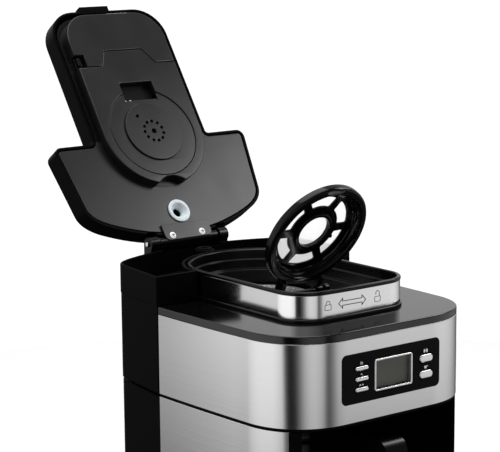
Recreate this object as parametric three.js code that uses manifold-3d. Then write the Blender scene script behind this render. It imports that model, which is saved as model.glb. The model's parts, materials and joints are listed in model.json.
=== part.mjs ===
// Grind-and-brew drip coffee maker, standing open: lid up, basket cover up, carafe in its bay.
// Millimetres, +Z up, the front faces -Y. The origin is on the floor under the middle of the body.
import * as THREE from 'three';
import { mergeVertices } from 'three/addons/utils/BufferGeometryUtils.js';
import Module from 'manifold-3d';

const wasm = await Module();
wasm.setup();

// ---------------------------------------------------------------- driving dimensions
const GAP = 0.3;                     // clearance between neighbouring pieces
const HALF_WIDTH = 103;              // body half width at the back of the steel
const SIDE_TAPER = 2.8;              // each side comes in by this much toward the front corner
const FRONT_Y = -125;
const CORNER = 56;                   // front corner radius
const CORNER_POWER = 2.2;            // a little squarer than a circle
const STEEL_BACK_Y = 39.8;
const REAR_FRONT_Y = 42.2;           // front face of the black rear half
const BACK_Y = 139;

const BASE_BOTTOM = 4;
const BASE_TOP = 29.7;
const BAY_TOP = 231.2;               // top of the lower housing
const WRAP_BOTTOM = 234.2;
const WRAP_TOP = 300;
const DECK_TOP = 306.4;
const RIM_TOP = 330.6;               // brew box rim and tank rim
const STEEL = 1;                     // sheet thickness
const WALL = 2.5;                    // moulded wall thickness

const BOX_HALF = 59.8;
const BOX_FRONT_Y = -87.5;
const BOX_CORNER = 27;
const BASKET_Y = 38.4;               // axis of the basket and of the box's round back
const TANK_BORE = 62.3;              // the tank's round inner wall around the box
const FLOOR_Z = 298.5;               // floor inside the brew box
const OUTLET_Y = 5;                  // coffee runs down here, on the carafe's axis
const GRINDER_Y = -48;
const RISER_Y = 115.6;
const SUPPLY = [45, 112];            // the tank's outlet, x and y

const BAY_HALF = 80;
const BAY_ARC_Y = 15;                // the bay's back is a half circle about this line
const LEFT_PANEL_FRONT_Y = -107.3;
const RIGHT_PANEL_FRONT_Y = -101;

const LID_PIVOT = [141.4, 335.8];    // y and z
const LID_OPEN = THREE.MathUtils.degToRad(124.3);
const COVER_PIVOT = [-15.6, 313.5];  // y and z
const COVER_OPEN = THREE.MathUtils.degToRad(118.85);
const COVER_RADIUS = 47.4;
const COVER_REACH = 54;              // pivot to the cover's centre
const COVER_FACE = -2.6;             // top of the closed cover's rim, above the pivot
const COVER_RIM_BOTTOM = -10;
const WEB_FACE = -9.4;               // its spoked web lies deeper
const WEB_THICKNESS = 1.6;
const WEB_RADIUS = 36.4;             // clear of the mesh filter's rim

// ---------------------------------------------------------------- solids
function toManifold(geometry) {
  const bare = geometry.clone();
  bare.deleteAttribute('normal');
  bare.deleteAttribute('uv');
  const welded = mergeVertices(bare, 1e-4);
  const solid = new wasm.Manifold(new wasm.Mesh({
    numProp: 3,
    vertProperties: new Float32Array(welded.attributes.position.array),
    triVerts: new Uint32Array(welded.index.array),
  }));
  return solid;
}

function toGeometry(solid) {
  const mesh = solid.getMesh();
  const geometry = new THREE.BufferGeometry();
  geometry.setAttribute('position', new THREE.BufferAttribute(mesh.vertProperties, 3));
  geometry.setIndex(new THREE.BufferAttribute(mesh.triVerts, 1));
  return geometry;
}

function combine(operation, first, others) {
  return toGeometry(others.reduce((sum, next) => sum[operation](toManifold(next)), toManifold(first)));
}
const join = (first, ...others) => combine('add', first, others);
const cut = (first, ...others) => combine('subtract', first, others);
const common = (first, ...others) => combine('intersect', first, others);

// An outline pulled straight up between two heights.
function prism(outline, bottom, top) {
  const geometry = new THREE.ExtrudeGeometry(new THREE.Shape(outline), { depth: top - bottom, bevelEnabled: false });
  return geometry.translate(0, 0, bottom);
}

// The same with its top edge rounded: the outline is pulled with a bevel and the lower bevel is cut away.
function softPrism(outline, bottom, top, radius, steps) {
  const inner = offset(outline, -radius);
  const geometry = new THREE.ExtrudeGeometry(new THREE.Shape(inner), {
    depth: top - bottom, bevelEnabled: true, bevelThickness: radius, bevelSize: radius, bevelSegments: steps,
  });
  geometry.translate(0, 0, bottom - radius);
  return cut(geometry, block([-400, 400], [-400, 400], [bottom - 3 * radius, bottom]));
}

function block([x0, x1], [y0, y1], [z0, z1]) {
  const geometry = new THREE.BoxGeometry(x1 - x0, y1 - y0, z1 - z0);
  return geometry.translate((x0 + x1) / 2, (y0 + y1) / 2, (z0 + z1) / 2);
}

// A profile of [radius, height] corners turned about +Z. It starts and ends on the axis, or it closes on itself.
function turned(profile, segments, x = 0, y = 0) {
  const onAxis = profile[0][0] === 0 && profile.at(-1)[0] === 0;
  const loop = onAxis ? profile : [...profile, profile[0]];
  const area = THREE.ShapeUtils.area(profile.map(([radius, height]) => new THREE.Vector2(radius, height)));
  const ordered = area < 0 ? [...loop].reverse() : loop;
  const points = ordered.map(([radius, height]) => new THREE.Vector2(radius, height));
  return new THREE.LatheGeometry(points, segments).rotateX(Math.PI / 2).translate(x, y, 0);
}

const disc = (radius, bottom, top, segments, x = 0, y = 0) =>
  turned([[0, bottom], [radius, bottom], [radius, top], [0, top]], segments, x, y);

const ring = (inner, outer, bottom, top, segments, x = 0, y = 0) =>
  turned([[inner, bottom], [outer, bottom], [outer, top], [inner, top]], segments, x, y);

// A rod along +X at a given y and z.
const rod = (radius, x0, x1, y, z, segments = 16) =>
  disc(radius, x0, x1, segments).rotateY(Math.PI / 2).translate(0, y, z);

// A round tube or bar along a curve, with flat ends.
function swept(points, section, steps) {
  const curve = new THREE.CatmullRomCurve3(points.map((point) => new THREE.Vector3(...point)), false, 'catmullrom', 0.5);
  return new THREE.ExtrudeGeometry(section, { steps, extrudePath: curve, bevelEnabled: false });
}

const roundSection = (radius, sides = 8) =>
  new THREE.Shape(Array.from({ length: sides }, (_, i) => {
    const angle = 2 * Math.PI * i / sides;
    return new THREE.Vector2(radius * Math.cos(angle), radius * Math.sin(angle));
  }));

// ---------------------------------------------------------------- outlines, counter-clockwise seen from above
// Corners are [x, y, radius]; a corner without a radius stays sharp.
function rounded(corners, steps = 4) {
  return corners.flatMap(([x, y, radius], i) => {
    const corner = new THREE.Vector2(x, y);
    if (!radius) return [corner];
    const [beforeX, beforeY] = corners.at(i - 1);
    const [afterX, afterY] = corners[(i + 1) % corners.length];
    const before = new THREE.Vector2(beforeX, beforeY).sub(corner).normalize();
    const after = new THREE.Vector2(afterX, afterY).sub(corner).normalize();
    const half = Math.acos(before.dot(after)) / 2;
    const centre = before.clone().add(after).normalize().multiplyScalar(radius / Math.sin(half)).add(corner);
    const start = before.clone().multiplyScalar(radius / Math.tan(half)).add(corner).sub(centre);
    const turn = Math.sign(-before.cross(after)) * (Math.PI - 2 * half);
    return Array.from({ length: steps + 1 }, (_, k) =>
      start.clone().rotateAround(new THREE.Vector2(), turn * k / steps).add(centre));
  });
}

// Moves every side of a closed outline outward, or inward when the distance is negative.
function offset(outline, distance) {
  return outline.map((point, i) => {
    const before = point.clone().sub(outline.at(i - 1)).normalize();
    const after = outline[(i + 1) % outline.length].clone().sub(point).normalize();
    const mitre = new THREE.Vector2(before.y + after.y, -before.x - after.x);
    return mitre.multiplyScalar(2 * distance / mitre.lengthSq()).add(point);
  });
}

const mirrored = (half) => [...half, ...half.map((point) => new THREE.Vector2(-point.x, point.y)).reverse()];

// Right half of the body's front outline, from the middle of the front to the back of the steel.
function frontHalf() {
  const frontHalfWidth = HALF_WIDTH - SIDE_TAPER;
  const cornerX = frontHalfWidth - CORNER;
  const cornerY = FRONT_Y + CORNER;
  const steps = 7;
  const corner = Array.from({ length: steps + 1 }, (_, k) => {
    const angle = (k / steps) * Math.PI / 2;
    const along = Math.sin(angle) ** (2 / CORNER_POWER);
    const out = Math.cos(angle) ** (2 / CORNER_POWER);
    return new THREE.Vector2(cornerX + CORNER * along, cornerY - CORNER * out);
  });
  const side = [0.35, 0.65, 1].map((part) => new THREE.Vector2(
    HALF_WIDTH - SIDE_TAPER * (1 - part) ** 2, cornerY + part * (STEEL_BACK_Y - cornerY)));
  return [...corner, ...side];
}

// The rear half of the body: short tapering sides, round corners and a shallow arched back.
function rearCurve() {
  const path = new THREE.Path();
  path.moveTo(HALF_WIDTH, REAR_FRONT_Y);
  path.lineTo(95.2, 102);
  path.quadraticCurveTo(93.6, 114.1, 76, 122);
  path.quadraticCurveTo(0, 2 * BACK_Y - 122, -76, 122);
  path.quadraticCurveTo(-93.6, 114.1, -95.2, 102);
  path.lineTo(-HALF_WIDTH, REAR_FRONT_Y);
  return path.getPoints(5);
}

const frontSteel = mirrored(frontHalf().reverse()).reverse();
const rearOutline = rearCurve();
const bodyOutline = [...frontSteel, ...rearOutline];

const boxOutline = (() => {
  const back = Array.from({ length: 13 }, (_, k) => {
    const angle = Math.PI * k / 12;
    return [BOX_HALF * Math.cos(angle), BASKET_Y + BOX_HALF * Math.sin(angle)];
  });
  return rounded([[-BOX_HALF, BOX_FRONT_Y + 0.8, BOX_CORNER], [0, BOX_FRONT_Y], [BOX_HALF, BOX_FRONT_Y + 0.8, BOX_CORNER],
    ...back]);
})();

const bayOutline = (() => {
  const back = Array.from({ length: 11 }, (_, k) => {
    const angle = Math.PI * k / 10;
    return new THREE.Vector2(BAY_HALF * Math.cos(angle), BAY_ARC_Y + BAY_HALF * Math.sin(angle));
  });
  return [new THREE.Vector2(-BAY_HALF, FRONT_Y - 20), new THREE.Vector2(BAY_HALF, FRONT_Y - 20), ...back];
})();

// ---------------------------------------------------------------- base
const basePan = () => cut(
  prism(offset(bodyOutline, -0.4), BASE_BOTTOM + 3, BASE_TOP),
  prism(offset(bodyOutline, -0.4 - WALL), 0, BASE_TOP - WALL),
  disc(60, 0, 40, 32, 0, OUTLET_Y),
  disc(7.5, 0, 40, 16, 0, RISER_Y),
  disc(7.5, 0, 40, 16, ...SUPPLY),
);

const bottomCover = () => prism(offset(bodyOutline, -1.2), BASE_BOTTOM, BASE_BOTTOM + 2.7);

const foot = (x, y) => turned([[0, 0], [8, 0], [9.5, 1.2], [9.5, 3.7], [0, 3.7]], 14, x, y);

const warmingPlate = () => turned([
  [0, 25.2], [59, 25.2], [59, 30], [64.5, 30], [64.5, 31], [62.5, 31.6], [60.5, 31], [0, 31],
], 32, 0, OUTLET_Y);

function flowHeater() {
  const radius = 44;
  const arc = Array.from({ length: 9 }, (_, k) => {
    const angle = THREE.MathUtils.degToRad(120 - 300 * k / 8);
    return [radius * Math.cos(angle), OUTLET_Y + radius * Math.sin(angle), 16.5];
  });
  return swept(arc, roundSection(7.5), 16);
}

// ---------------------------------------------------------------- lower housing and its steel sides
// A double wall around the carafe bay, open at the bottom, with two black posts at the bay's mouth.
function lowerHousing() {
  const skinInset = -0.2;
  const behindSteel = offset(bodyOutline, -STEEL - 0.6);
  const height = [BASE_TOP + GAP, BAY_TOP];
  const post = (side, y) => common(
    prism(offset(bodyOutline, skinInset), ...height),
    block(side < 0 ? [-150, 0] : [0, 150], [FRONT_Y - 5, y - GAP], height),
  );
  const rear = common(
    prism(offset(bodyOutline, -0.8), ...height),
    block([-150, 150], [STEEL_BACK_Y + GAP, BACK_Y + 5], height),
  );
  const solid = join(prism(behindSteel, ...height), post(-1, LEFT_PANEL_FRONT_Y), post(1, RIGHT_PANEL_FRONT_Y), rear);
  const core = cut(
    prism(offset(bodyOutline, -STEEL - 0.6 - WALL), 0, BAY_TOP - WALL),
    prism(offset(bayOutline, WALL), -1, 400),
  );
  return cut(
    solid,
    prism(bayOutline, 0, 400),
    core,
    disc(7.5, 0, 400, 16, 0, RISER_Y),
    disc(7.5, 0, 400, 16, ...SUPPLY),
    disc(7, BACK_Y - 14, BACK_Y + 5, 16).rotateX(-Math.PI / 2).translate(0, 0, 45),
  );
}

// One bent sheet from the back of the bay forward into the front corner.
function sidePanel(side, frontY) {
  const height = [BASE_TOP + 0.6, WRAP_BOTTOM - 2.3];
  const sheet = cut(prism(bodyOutline, ...height), prism(offset(bodyOutline, -STEEL), 0, 400));
  return common(sheet, block(side < 0 ? [-150, -20] : [20, 150], [frontY, STEEL_BACK_Y], height));
}

const cordGland = () => turned([
  [3.6, -9], [6.6, -9], [6.6, 0.6], [9, 0.6], [9, 3], [5.2, 8], [3.6, 8],
], 20).rotateX(-Math.PI / 2).translate(0, BACK_Y - 0.6, 45);

// ---------------------------------------------------------------- upper housing
const frontClosed = (inset) => offset(frontSteel, -inset);

function upperHousing() {
  const floorZ = BAY_TOP + GAP;
  const lip = prism(frontClosed(0.4), floorZ + 0.7, WRAP_BOTTOM - GAP);
  const around = join(
    prism(frontClosed(STEEL + GAP), floorZ, WRAP_TOP),
    disc(58.5, floorZ, WRAP_TOP, 24, 0, BASKET_Y),
  );
  const hollow = join(
    prism(frontClosed(STEEL + GAP + WALL), floorZ + WALL, WRAP_TOP + 5),
    disc(58.5 - WALL, floorZ + WALL, WRAP_TOP + 5, 24, 0, BASKET_Y),
  );
  return cut(
    join(around, lip), hollow,
    disc(17, 0, 400, 24, 0, OUTLET_Y),
    panelWindow(-1.5, FRONT_Y - 10, FRONT_Y + 10),
  );
}

// ---------------------------------------------------------------- control panel
const PANEL = { x: 1, z: 268.8, width: 101.5, height: 39.6, corner: 4.5 };
const PANEL_FACE_Y = FRONT_Y - 0.6;
const DISPLAY = { x: 2.6, z: 268.1, width: 39.4, height: 25.6 };
const SLIM_BUTTON = { x: -30.5, width: 13.2, height: 3.4, rows: [276.3, 267.9, 259.6] };
const TALL_BUTTON = { x: 36.4, width: 13.6, height: 6.2, rows: [273.6, 260.6] };

// A plate facing the front: a rectangle in X and Z between two y values.
function facingPlate({ x, z, width, height, corner }, grow, y0, y1, steps = 3) {
  const halfWidth = width / 2 + grow;
  const halfHeight = height / 2 + grow;
  const radius = Math.max(corner + grow, 0.4);
  const outline = rounded([[-halfWidth, -halfHeight, radius], [halfWidth, -halfHeight, radius],
    [halfWidth, halfHeight, radius], [-halfWidth, halfHeight, radius]], steps);
  return prism(outline, 0, y1 - y0).rotateX(Math.PI / 2).translate(x, y1, z);
}
const panelWindow = (grow, y0, y1) => facingPlate(PANEL, grow, y0, y1);
const displayShape = { ...DISPLAY, corner: 2 };
const FRAME_WALL = 1.6;
const buttonShape = (button, z) => ({ ...button, z, corner: Math.min(button.height / 2 - 0.1, 2.6) });

function allButtons() {
  const row = (button) => button.rows.map((z) => buttonShape(button, z));
  return [...row(SLIM_BUTTON), ...row(TALL_BUTTON)];
}

const controlFascia = () => cut(
  join(facingPlate(PANEL, 0, PANEL_FACE_Y, FRONT_Y + 1),
    facingPlate(PANEL, -2.2, PANEL_FACE_Y + 1, FRONT_Y + 4)),
  facingPlate(displayShape, GAP, FRONT_Y - 5, FRONT_Y + 8),
  ...allButtons().map((shape) => facingPlate(shape, GAP, FRONT_Y - 5, FRONT_Y + 8, 2)),
);

const displayFrame = () => cut(
  facingPlate(displayShape, 0, PANEL_FACE_Y - 0.5, FRONT_Y + 4),
  facingPlate(displayShape, -FRAME_WALL, PANEL_FACE_Y - 5, FRONT_Y + 8),
);
const displayWindow = () => facingPlate(displayShape, -FRAME_WALL - GAP, FRONT_Y + 2.6, FRONT_Y + 5, 2);

const button = (shape) => join(
  facingPlate(shape, 0, PANEL_FACE_Y - 1.2, FRONT_Y + 4.6, 2),
  facingPlate(shape, 0.9, FRONT_Y + 4.4, FRONT_Y + 5.4, 1),
);
const controlBoard = () => block([-44, 46], [FRONT_Y + 7.4, FRONT_Y + 9], [249, 289]);

const steelWrap = () => cut(
  prism(frontSteel, WRAP_BOTTOM, WRAP_TOP),
  prism([...offset(frontSteel, -STEEL).slice(1, -1), new THREE.Vector2(HALF_WIDTH - STEEL, STEEL_BACK_Y + 9),
    new THREE.Vector2(-HALF_WIDTH + STEEL, STEEL_BACK_Y + 9)], 0, 400),
  panelWindow(GAP, FRONT_Y - 10, FRONT_Y + 20),
);

// ---------------------------------------------------------------- deck and brew box
const topDeck = () => cut(
  softPrism(frontSteel, WRAP_TOP + GAP, DECK_TOP, 0.8, 1),
  prism(offset(frontSteel, -3), 0, DECK_TOP - 3),
  prism(offset(boxOutline, -5.2), 0, 400),
);

// Liner of the brew box: a flange on the deck, the wall behind the band, the rim, a skirt through the deck, the
// floor and the well that holds the basket. Two posts carry the basket cover.
function brewBox() {
  const wallInset = -STEEL - GAP;
  const shell = join(
    softPrism(offset(boxOutline, 1), DECK_TOP + GAP, DECK_TOP + 2.4, 0.8, 1),
    prism(offset(boxOutline, wallInset), DECK_TOP + GAP, RIM_TOP - 1),
    softPrism(offset(boxOutline, 0.4), RIM_TOP - 2.8, RIM_TOP, 0.9, 1),
    prism(offset(boxOutline, -5.6), FLOOR_Z - WALL, DECK_TOP + 1),
    disc(47, FLOOR_Z - 60.2, FLOOR_Z, 24, 0, BASKET_Y),
  );
  const hollow = [
    prism(offset(boxOutline, -3.2), DECK_TOP + 3, 400),
    prism(offset(boxOutline, -8), FLOOR_Z, 400),
    disc(44.8, FLOOR_Z - 58, 400, 24, 0, BASKET_Y),
    disc(30.4, 200, 400, 24, 0, GRINDER_Y),
    disc(13, 200, 400, 16, 0, OUTLET_Y),
  ];
  const posts = [-1, 1].map((side) => block(
    side < 0 ? [-28.5, -24.5] : [24.5, 28.5],
    [COVER_PIVOT[0] - 3.4, COVER_PIVOT[0] + 3.4], [FLOOR_Z - 1, COVER_PIVOT[1] + 3.4]));
  return cut(join(cut(shell, ...hollow), ...posts), rod(1.7, -40, 40, ...COVER_PIVOT, 12));
}

// The band wraps the part of the box that stands in front of the tank.
const boxBand = () => common(
  cut(prism(boxOutline, DECK_TOP + 2.7, RIM_TOP - 3.1), prism(offset(boxOutline, -STEEL), 0, 400)),
  block([-150, 150], [-150, REAR_FRONT_Y - GAP], [0, 400]),
);

// ---------------------------------------------------------------- filter basket and drip stop
// A cone leaning forward: the funnel under the basket runs to an outlet in front of the basket's axis.
function leaningCone(wide, narrow, top, bottom) {
  const lean = (OUTLET_Y - BASKET_Y) / (bottom - top);
  const shear = new THREE.Matrix4().set(1, 0, 0, 0, 0, 1, lean, -lean * top, 0, 0, 1, 0, 0, 0, 0, 1);
  return turned([[0, bottom], [narrow, bottom], [wide, top], [0, top]], 24, 0, 0)
    .applyMatrix4(shear).translate(0, BASKET_Y, 0);
}

function filterBasket() {
  const shoulder = 266;
  const outlet = 246;
  const outside = join(
    disc(47.2, FLOOR_Z + GAP, FLOOR_Z + 2.2, 24, 0, BASKET_Y),
    disc(44, shoulder, FLOOR_Z + 1, 24, 0, BASKET_Y),
    leaningCone(44, 12, shoulder, outlet),
    disc(10, 234.5, outlet + 1, 24, 0, OUTLET_Y),
  );
  return cut(
    outside,
    disc(42, shoulder, 320, 24, 0, BASKET_Y),
    leaningCone(42, 9, shoulder + 0.01, outlet + 1.5),
    disc(7, 200, outlet + 3, 24, 0, OUTLET_Y),
  );
}

const meshFilter = () => turned([
  [41.4, FLOOR_Z + 2.5], [45, FLOOR_Z + 2.5], [45, FLOOR_Z + 3.5], [39.6, FLOOR_Z + 3.5],
  [30, 270], [0, 268.6], [0, 267.4], [31, 268.8],
], 24, 0, BASKET_Y);

const dripValve = () => turned([
  [0, 219], [3, 219], [6.4, 224], [6.4, 246], [4.6, 246], [4.6, 250], [0, 250],
], 20, 0, OUTLET_Y);

const valveSpring = () => ring(4.9, 6.1, 246.4, 249.6, 16, 0, OUTLET_Y);

// ---------------------------------------------------------------- grinder
const grinderCup = () => turned([
  [3.6, 268], [22, 268], [29.8, 276], [29.8, FLOOR_Z + GAP], [31.2, FLOOR_Z + GAP], [31.2, FLOOR_Z + 1.6],
  [28.4, FLOOR_Z + 1.6], [28.4, 277], [21.4, 269.6], [3.6, 269.6],
], 24, 0, GRINDER_Y);

const BLADE_LENGTH = 42;
const grinderBlade = () => join(
  disc(5.5, 272, 279, 20, 0, GRINDER_Y),
  block([-BLADE_LENGTH / 2, 0], [-3.2, 3.2], [-0.8, 0.8]).rotateX(0.35).translate(0, GRINDER_Y, 275),
  block([0, BLADE_LENGTH / 2], [-3.2, 3.2], [-0.8, 0.8]).rotateX(-0.35).translate(0, GRINDER_Y, 275),
);
const grinderShaft = () => disc(3, 265.4, 271.7, 16, 0, GRINDER_Y);
const grinderMotor = () => turned([
  [0, 237], [23, 237], [25, 239], [25, 260], [21, 264], [0, 264],
], 28, 0, GRINDER_Y);

// ---------------------------------------------------------------- tank and water path
// A crescent around the box's round back, with a chimney for the riser tube.
function waterTank() {
  const seam = DECK_TOP + GAP;
  const bottom = 239;
  const lower = offset(rearOutline, -3.6);
  const outside = join(prism(rearOutline, seam, RIM_TOP), prism(lower, bottom, seam + 2));
  const hollow = join(
    prism(offset(rearOutline, -2.6), seam + 2.4, RIM_TOP + 20),
    prism(offset(rearOutline, -6.2), bottom + WALL, RIM_TOP),
  );
  const moat = cut(hollow, disc(TANK_BORE + WALL, 0, 400, 32, 0, BASKET_Y));
  const tub = cut(outside, disc(TANK_BORE, 0, 400, 32, 0, BASKET_Y), moat);
  return cut(
    join(tub, disc(8.6, bottom + 1, RIM_TOP, 20, 0, RISER_Y)),
    disc(6.4, 0, 400, 20, 0, RISER_Y),
    disc(6.2, 0, bottom + 20, 16, ...SUPPLY),
    block([-BRACKET_X[0] + 1, BRACKET_X[0] - 1], [BACK_Y - 10, BACK_Y + 5], [RIM_TOP - 2.8, RIM_TOP + 5]),
  );
}

// Black skin under the tank, open toward the front.
const rearCover = () => cut(
  prism(offset(rearOutline, -0.4), BAY_TOP + 2.3, DECK_TOP),
  prism(offset(rearOutline, -0.4 - WALL), 0, 400),
  block([-96, 96], [REAR_FRONT_Y - 5, REAR_FRONT_Y + 8], [0, 400]),
);

const riserTube = () => ring(4.2, 6, 12, RIM_TOP + 1.2, 16, 0, RISER_Y);
const supplyTube = () => ring(3.8, 5.6, 12, 243, 16, ...SUPPLY);
const outletStrainer = () => turned([[5.9, 241.8], [9, 241.8], [9, 244.5], [6, 249], [0, 249], [0, 247.6], [5.9, 244]],
  16, ...SUPPLY);

// ---------------------------------------------------------------- lid hinge
const BRACKET_X = [32.6, 41.6];
function hingeBracket(side) {
  const [y, z] = LID_PIVOT;
  const width = side < 0 ? [-BRACKET_X[1], -BRACKET_X[0]] : BRACKET_X;
  return cut(
    join(rod(6.2, ...width, y, z, 24), block(width, [136.9, y + 6.2], [318, z])),
    rod(2.5, -60, 60, y, z),
  );
}
const hingePin = () => rod(2.2, -43.5, 43.5, ...LID_PIVOT);

// ---------------------------------------------------------------- lid, drawn shut and then swung open
const lidZ = (out) => LID_PIVOT[1] + out;     // height of a lid feature above the pivot line
const lidY = (along) => LID_PIVOT[0] - along; // distance from the pivot line toward the tip
const LID_UNDERSIDE = -3.6;
const TONGUE_FACE = -7;
const TONGUE_HALF = 25;
const PLATFORM_FACE = -11.5;
const LID_TOP = 14;
const LID_TIP = 232.4;                        // pivot to the tip of the shell
const LID_NECK = 61.2;                        // half width of the part over the brew box
const PLATFORM_TIP = 224.8;
const PLATFORM_HALF = 52;
const SHOWER_ALONG = 102;

const lidOutline = (() => {
  const tip = lidY(LID_TIP);
  const ear = REAR_FRONT_Y + 0.4;
  const rear = offset(rearOutline, 0.4).slice(1, -1).map((point) => [point.x, point.y]);
  return rounded([[-HALF_WIDTH - 0.4, ear, 7], [-LID_NECK, ear, 5], [-LID_NECK, tip, 28], [LID_NECK, tip, 28],
    [LID_NECK, ear, 5], [HALF_WIDTH + 0.4, ear, 7], ...rear], 5);
})();

const platformOutline = (() => {
  const back = Array.from({ length: 13 }, (_, k) => {
    const angle = Math.PI * k / 12;
    return [PLATFORM_HALF * Math.cos(angle), lidY(SHOWER_ALONG) + PLATFORM_HALF * Math.sin(angle)];
  });
  return rounded([[-PLATFORM_HALF, lidY(PLATFORM_TIP), 26], [PLATFORM_HALF, lidY(PLATFORM_TIP), 26], ...back]);
})();

const bracketNotches = [-1, 1].map((side) => block(
  side < 0 ? [-BRACKET_X[1] - 1, -BRACKET_X[0] + 0.8] : [BRACKET_X[0] - 0.8, BRACKET_X[1] + 1],
  [lidY(9), lidY(-20)], [lidZ(-20), lidZ(7.5)]));

function lidShell() {
  const cover = cut(
    softPrism(lidOutline, lidZ(-3), lidZ(LID_TOP), 3, 2),
    prism(offset(lidOutline, -WALL), lidZ(-9), lidZ(LID_TOP - WALL)),
    ...bracketNotches,
    latchSlot(),
  );
  const barrel = join(rod(4.8, -31.6, 31.6, ...LID_PIVOT), block([-31.6, 31.6], [lidY(6), lidY(0)], [lidZ(2), lidZ(9.5)]));
  return cut(join(cover, barrel), rod(2.6, -60, 60, ...LID_PIVOT));
}

// A tongue of the plate reaches in front of the barrel and carries the two screws.
const lidInnerPlate = () => join(
  cut(
    prism(offset(lidOutline, -WALL - 0.9), lidZ(LID_UNDERSIDE), lidZ(LID_UNDERSIDE + 2.2)),
    ...bracketNotches,
    block([-33, 33], [lidY(7.5), lidY(-9)], [lidZ(-20), lidZ(20)]),
    disc(9, 300, 360, 24, 0, RISER_Y),
    disc(34, 300, 360, 24, 0, lidY(SHOWER_ALONG)),
  ),
  block([-TONGUE_HALF, TONGUE_HALF], [lidY(14), lidY(-1)], [lidZ(TONGUE_FACE), lidZ(TONGUE_FACE + 1.9)]),
  block([-TONGUE_HALF, TONGUE_HALF], [lidY(14), lidY(8)], [lidZ(TONGUE_FACE + 1), lidZ(LID_UNDERSIDE + 1)]),
);

// The seam between the platform and the front cover steps forward in the middle.
const seamOutline = (grow) => [
  new THREE.Vector2(-90, lidY(171) + grow), new THREE.Vector2(-27, lidY(171) + grow),
  new THREE.Vector2(-21, lidY(186) + grow), new THREE.Vector2(21, lidY(186) + grow),
  new THREE.Vector2(30, lidY(171) + grow), new THREE.Vector2(90, lidY(171) + grow),
  new THREE.Vector2(90, lidY(0)), new THREE.Vector2(-90, lidY(0)),
];

const platformTub = () => cut(
  prism(platformOutline, lidZ(PLATFORM_FACE), lidZ(LID_UNDERSIDE - GAP)),
  prism(offset(platformOutline, -2.2), lidZ(PLATFORM_FACE + 2.2), lidZ(20)),
);
const lidPlatform = () => cut(
  common(platformTub(), prism(seamOutline(0), 300, 360)),
  disc(43.4, 300, 360, 32, 0, lidY(SHOWER_ALONG)),
  block([-16.6, 18], [lidY(152.5), lidY(134.7)], [300, 360]),
);
const lidFrontCover = () => cut(platformTub(), prism(seamOutline(-GAP), 300, 360));

function showerHead() {
  const face = lidZ(PLATFORM_FACE);
  const body = turned([
    [0, face - 1], [27, face - 1], [28.5, face + 0.6], [43, face + 0.6], [43, face + 3], [33, face + 3],
    [33, face + 7], [31, face + 7], [31, face + 2.6], [0, face + 2.6],
  ], 24, 0, lidY(SHOWER_ALONG));
  const holes = Array.from({ length: 11 }, (_, k) => {
    const angle = 2 * Math.PI * (k + 0.5) / 11;
    return disc(1.5, face - 5, face + 20, 6, 9.8 * Math.cos(angle), lidY(SHOWER_ALONG) + 9.8 * Math.sin(angle));
  });
  return cut(body, disc(2.4, face - 5, face + 20, 10, 0, lidY(SHOWER_ALONG)), ...holes);
}

const inletGrommet = () => turned([
  [4.2, lidZ(-0.6)], [6.6, lidZ(-2.6)], [8.6, lidZ(LID_UNDERSIDE - 1)], [10.8, lidZ(LID_UNDERSIDE - 1)],
  [10.8, lidZ(LID_UNDERSIDE - GAP)], [8.6, lidZ(LID_UNDERSIDE - GAP)], [8.6, lidZ(-1)], [6.4, lidZ(1.8)], [4.2, lidZ(1.8)],
], 20, 0, RISER_Y);

function waterDuct() {
  const far = lidY(SHOWER_ALONG);
  const tray = (grow, bottom, top) => join(
    disc(9.5 + grow, lidZ(bottom), lidZ(top), 20, 0, RISER_Y),
    disc(9.5 + grow, lidZ(bottom), lidZ(top), 20, 0, far),
    block([-7.5 - grow, 7.5 + grow], [far, RISER_Y], [lidZ(bottom), lidZ(top)]),
  );
  return cut(tray(0, 2.2, 8), tray(-1.6, 3.8, 6.4),
    disc(3.4, 300, lidZ(5), 16, 0, RISER_Y), disc(4.4, 300, lidZ(5), 16, 0, far));
}

const lidScrew = (x) => disc(3.8, lidZ(TONGUE_FACE - 0.7), lidZ(TONGUE_FACE - 0.05), 12, x, lidY(4.6));

// The latch slides across the tip; its finger tab stands out through a slot in the shell.
const LATCH_X = [-22.5, 8.5];
const LATCH_TRAVEL = 25;
const SLOT_MARGIN = 2.6;
const fromTip = (near, far) => [lidY(LID_TIP + near), lidY(LID_TIP + far)];
const latchSlot = () => block(
  [LATCH_X[0] + SLOT_MARGIN, LATCH_X[1] + LATCH_TRAVEL - SLOT_MARGIN], fromTip(3.4, -4.6), [lidZ(-4), lidZ(2.4)]);
const lidLatch = () => join(
  block([LATCH_X[0] + 3, LATCH_X[1] - 3], fromTip(2.4, -6.6), [lidZ(-1), lidZ(1.8)]),
  block(LATCH_X, fromTip(5.2, 0.4), [lidZ(-3.4), lidZ(4.2)]),
  block(LATCH_X, fromTip(-3.2, -7.2), [lidZ(-1), lidZ(5)]),
);

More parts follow.
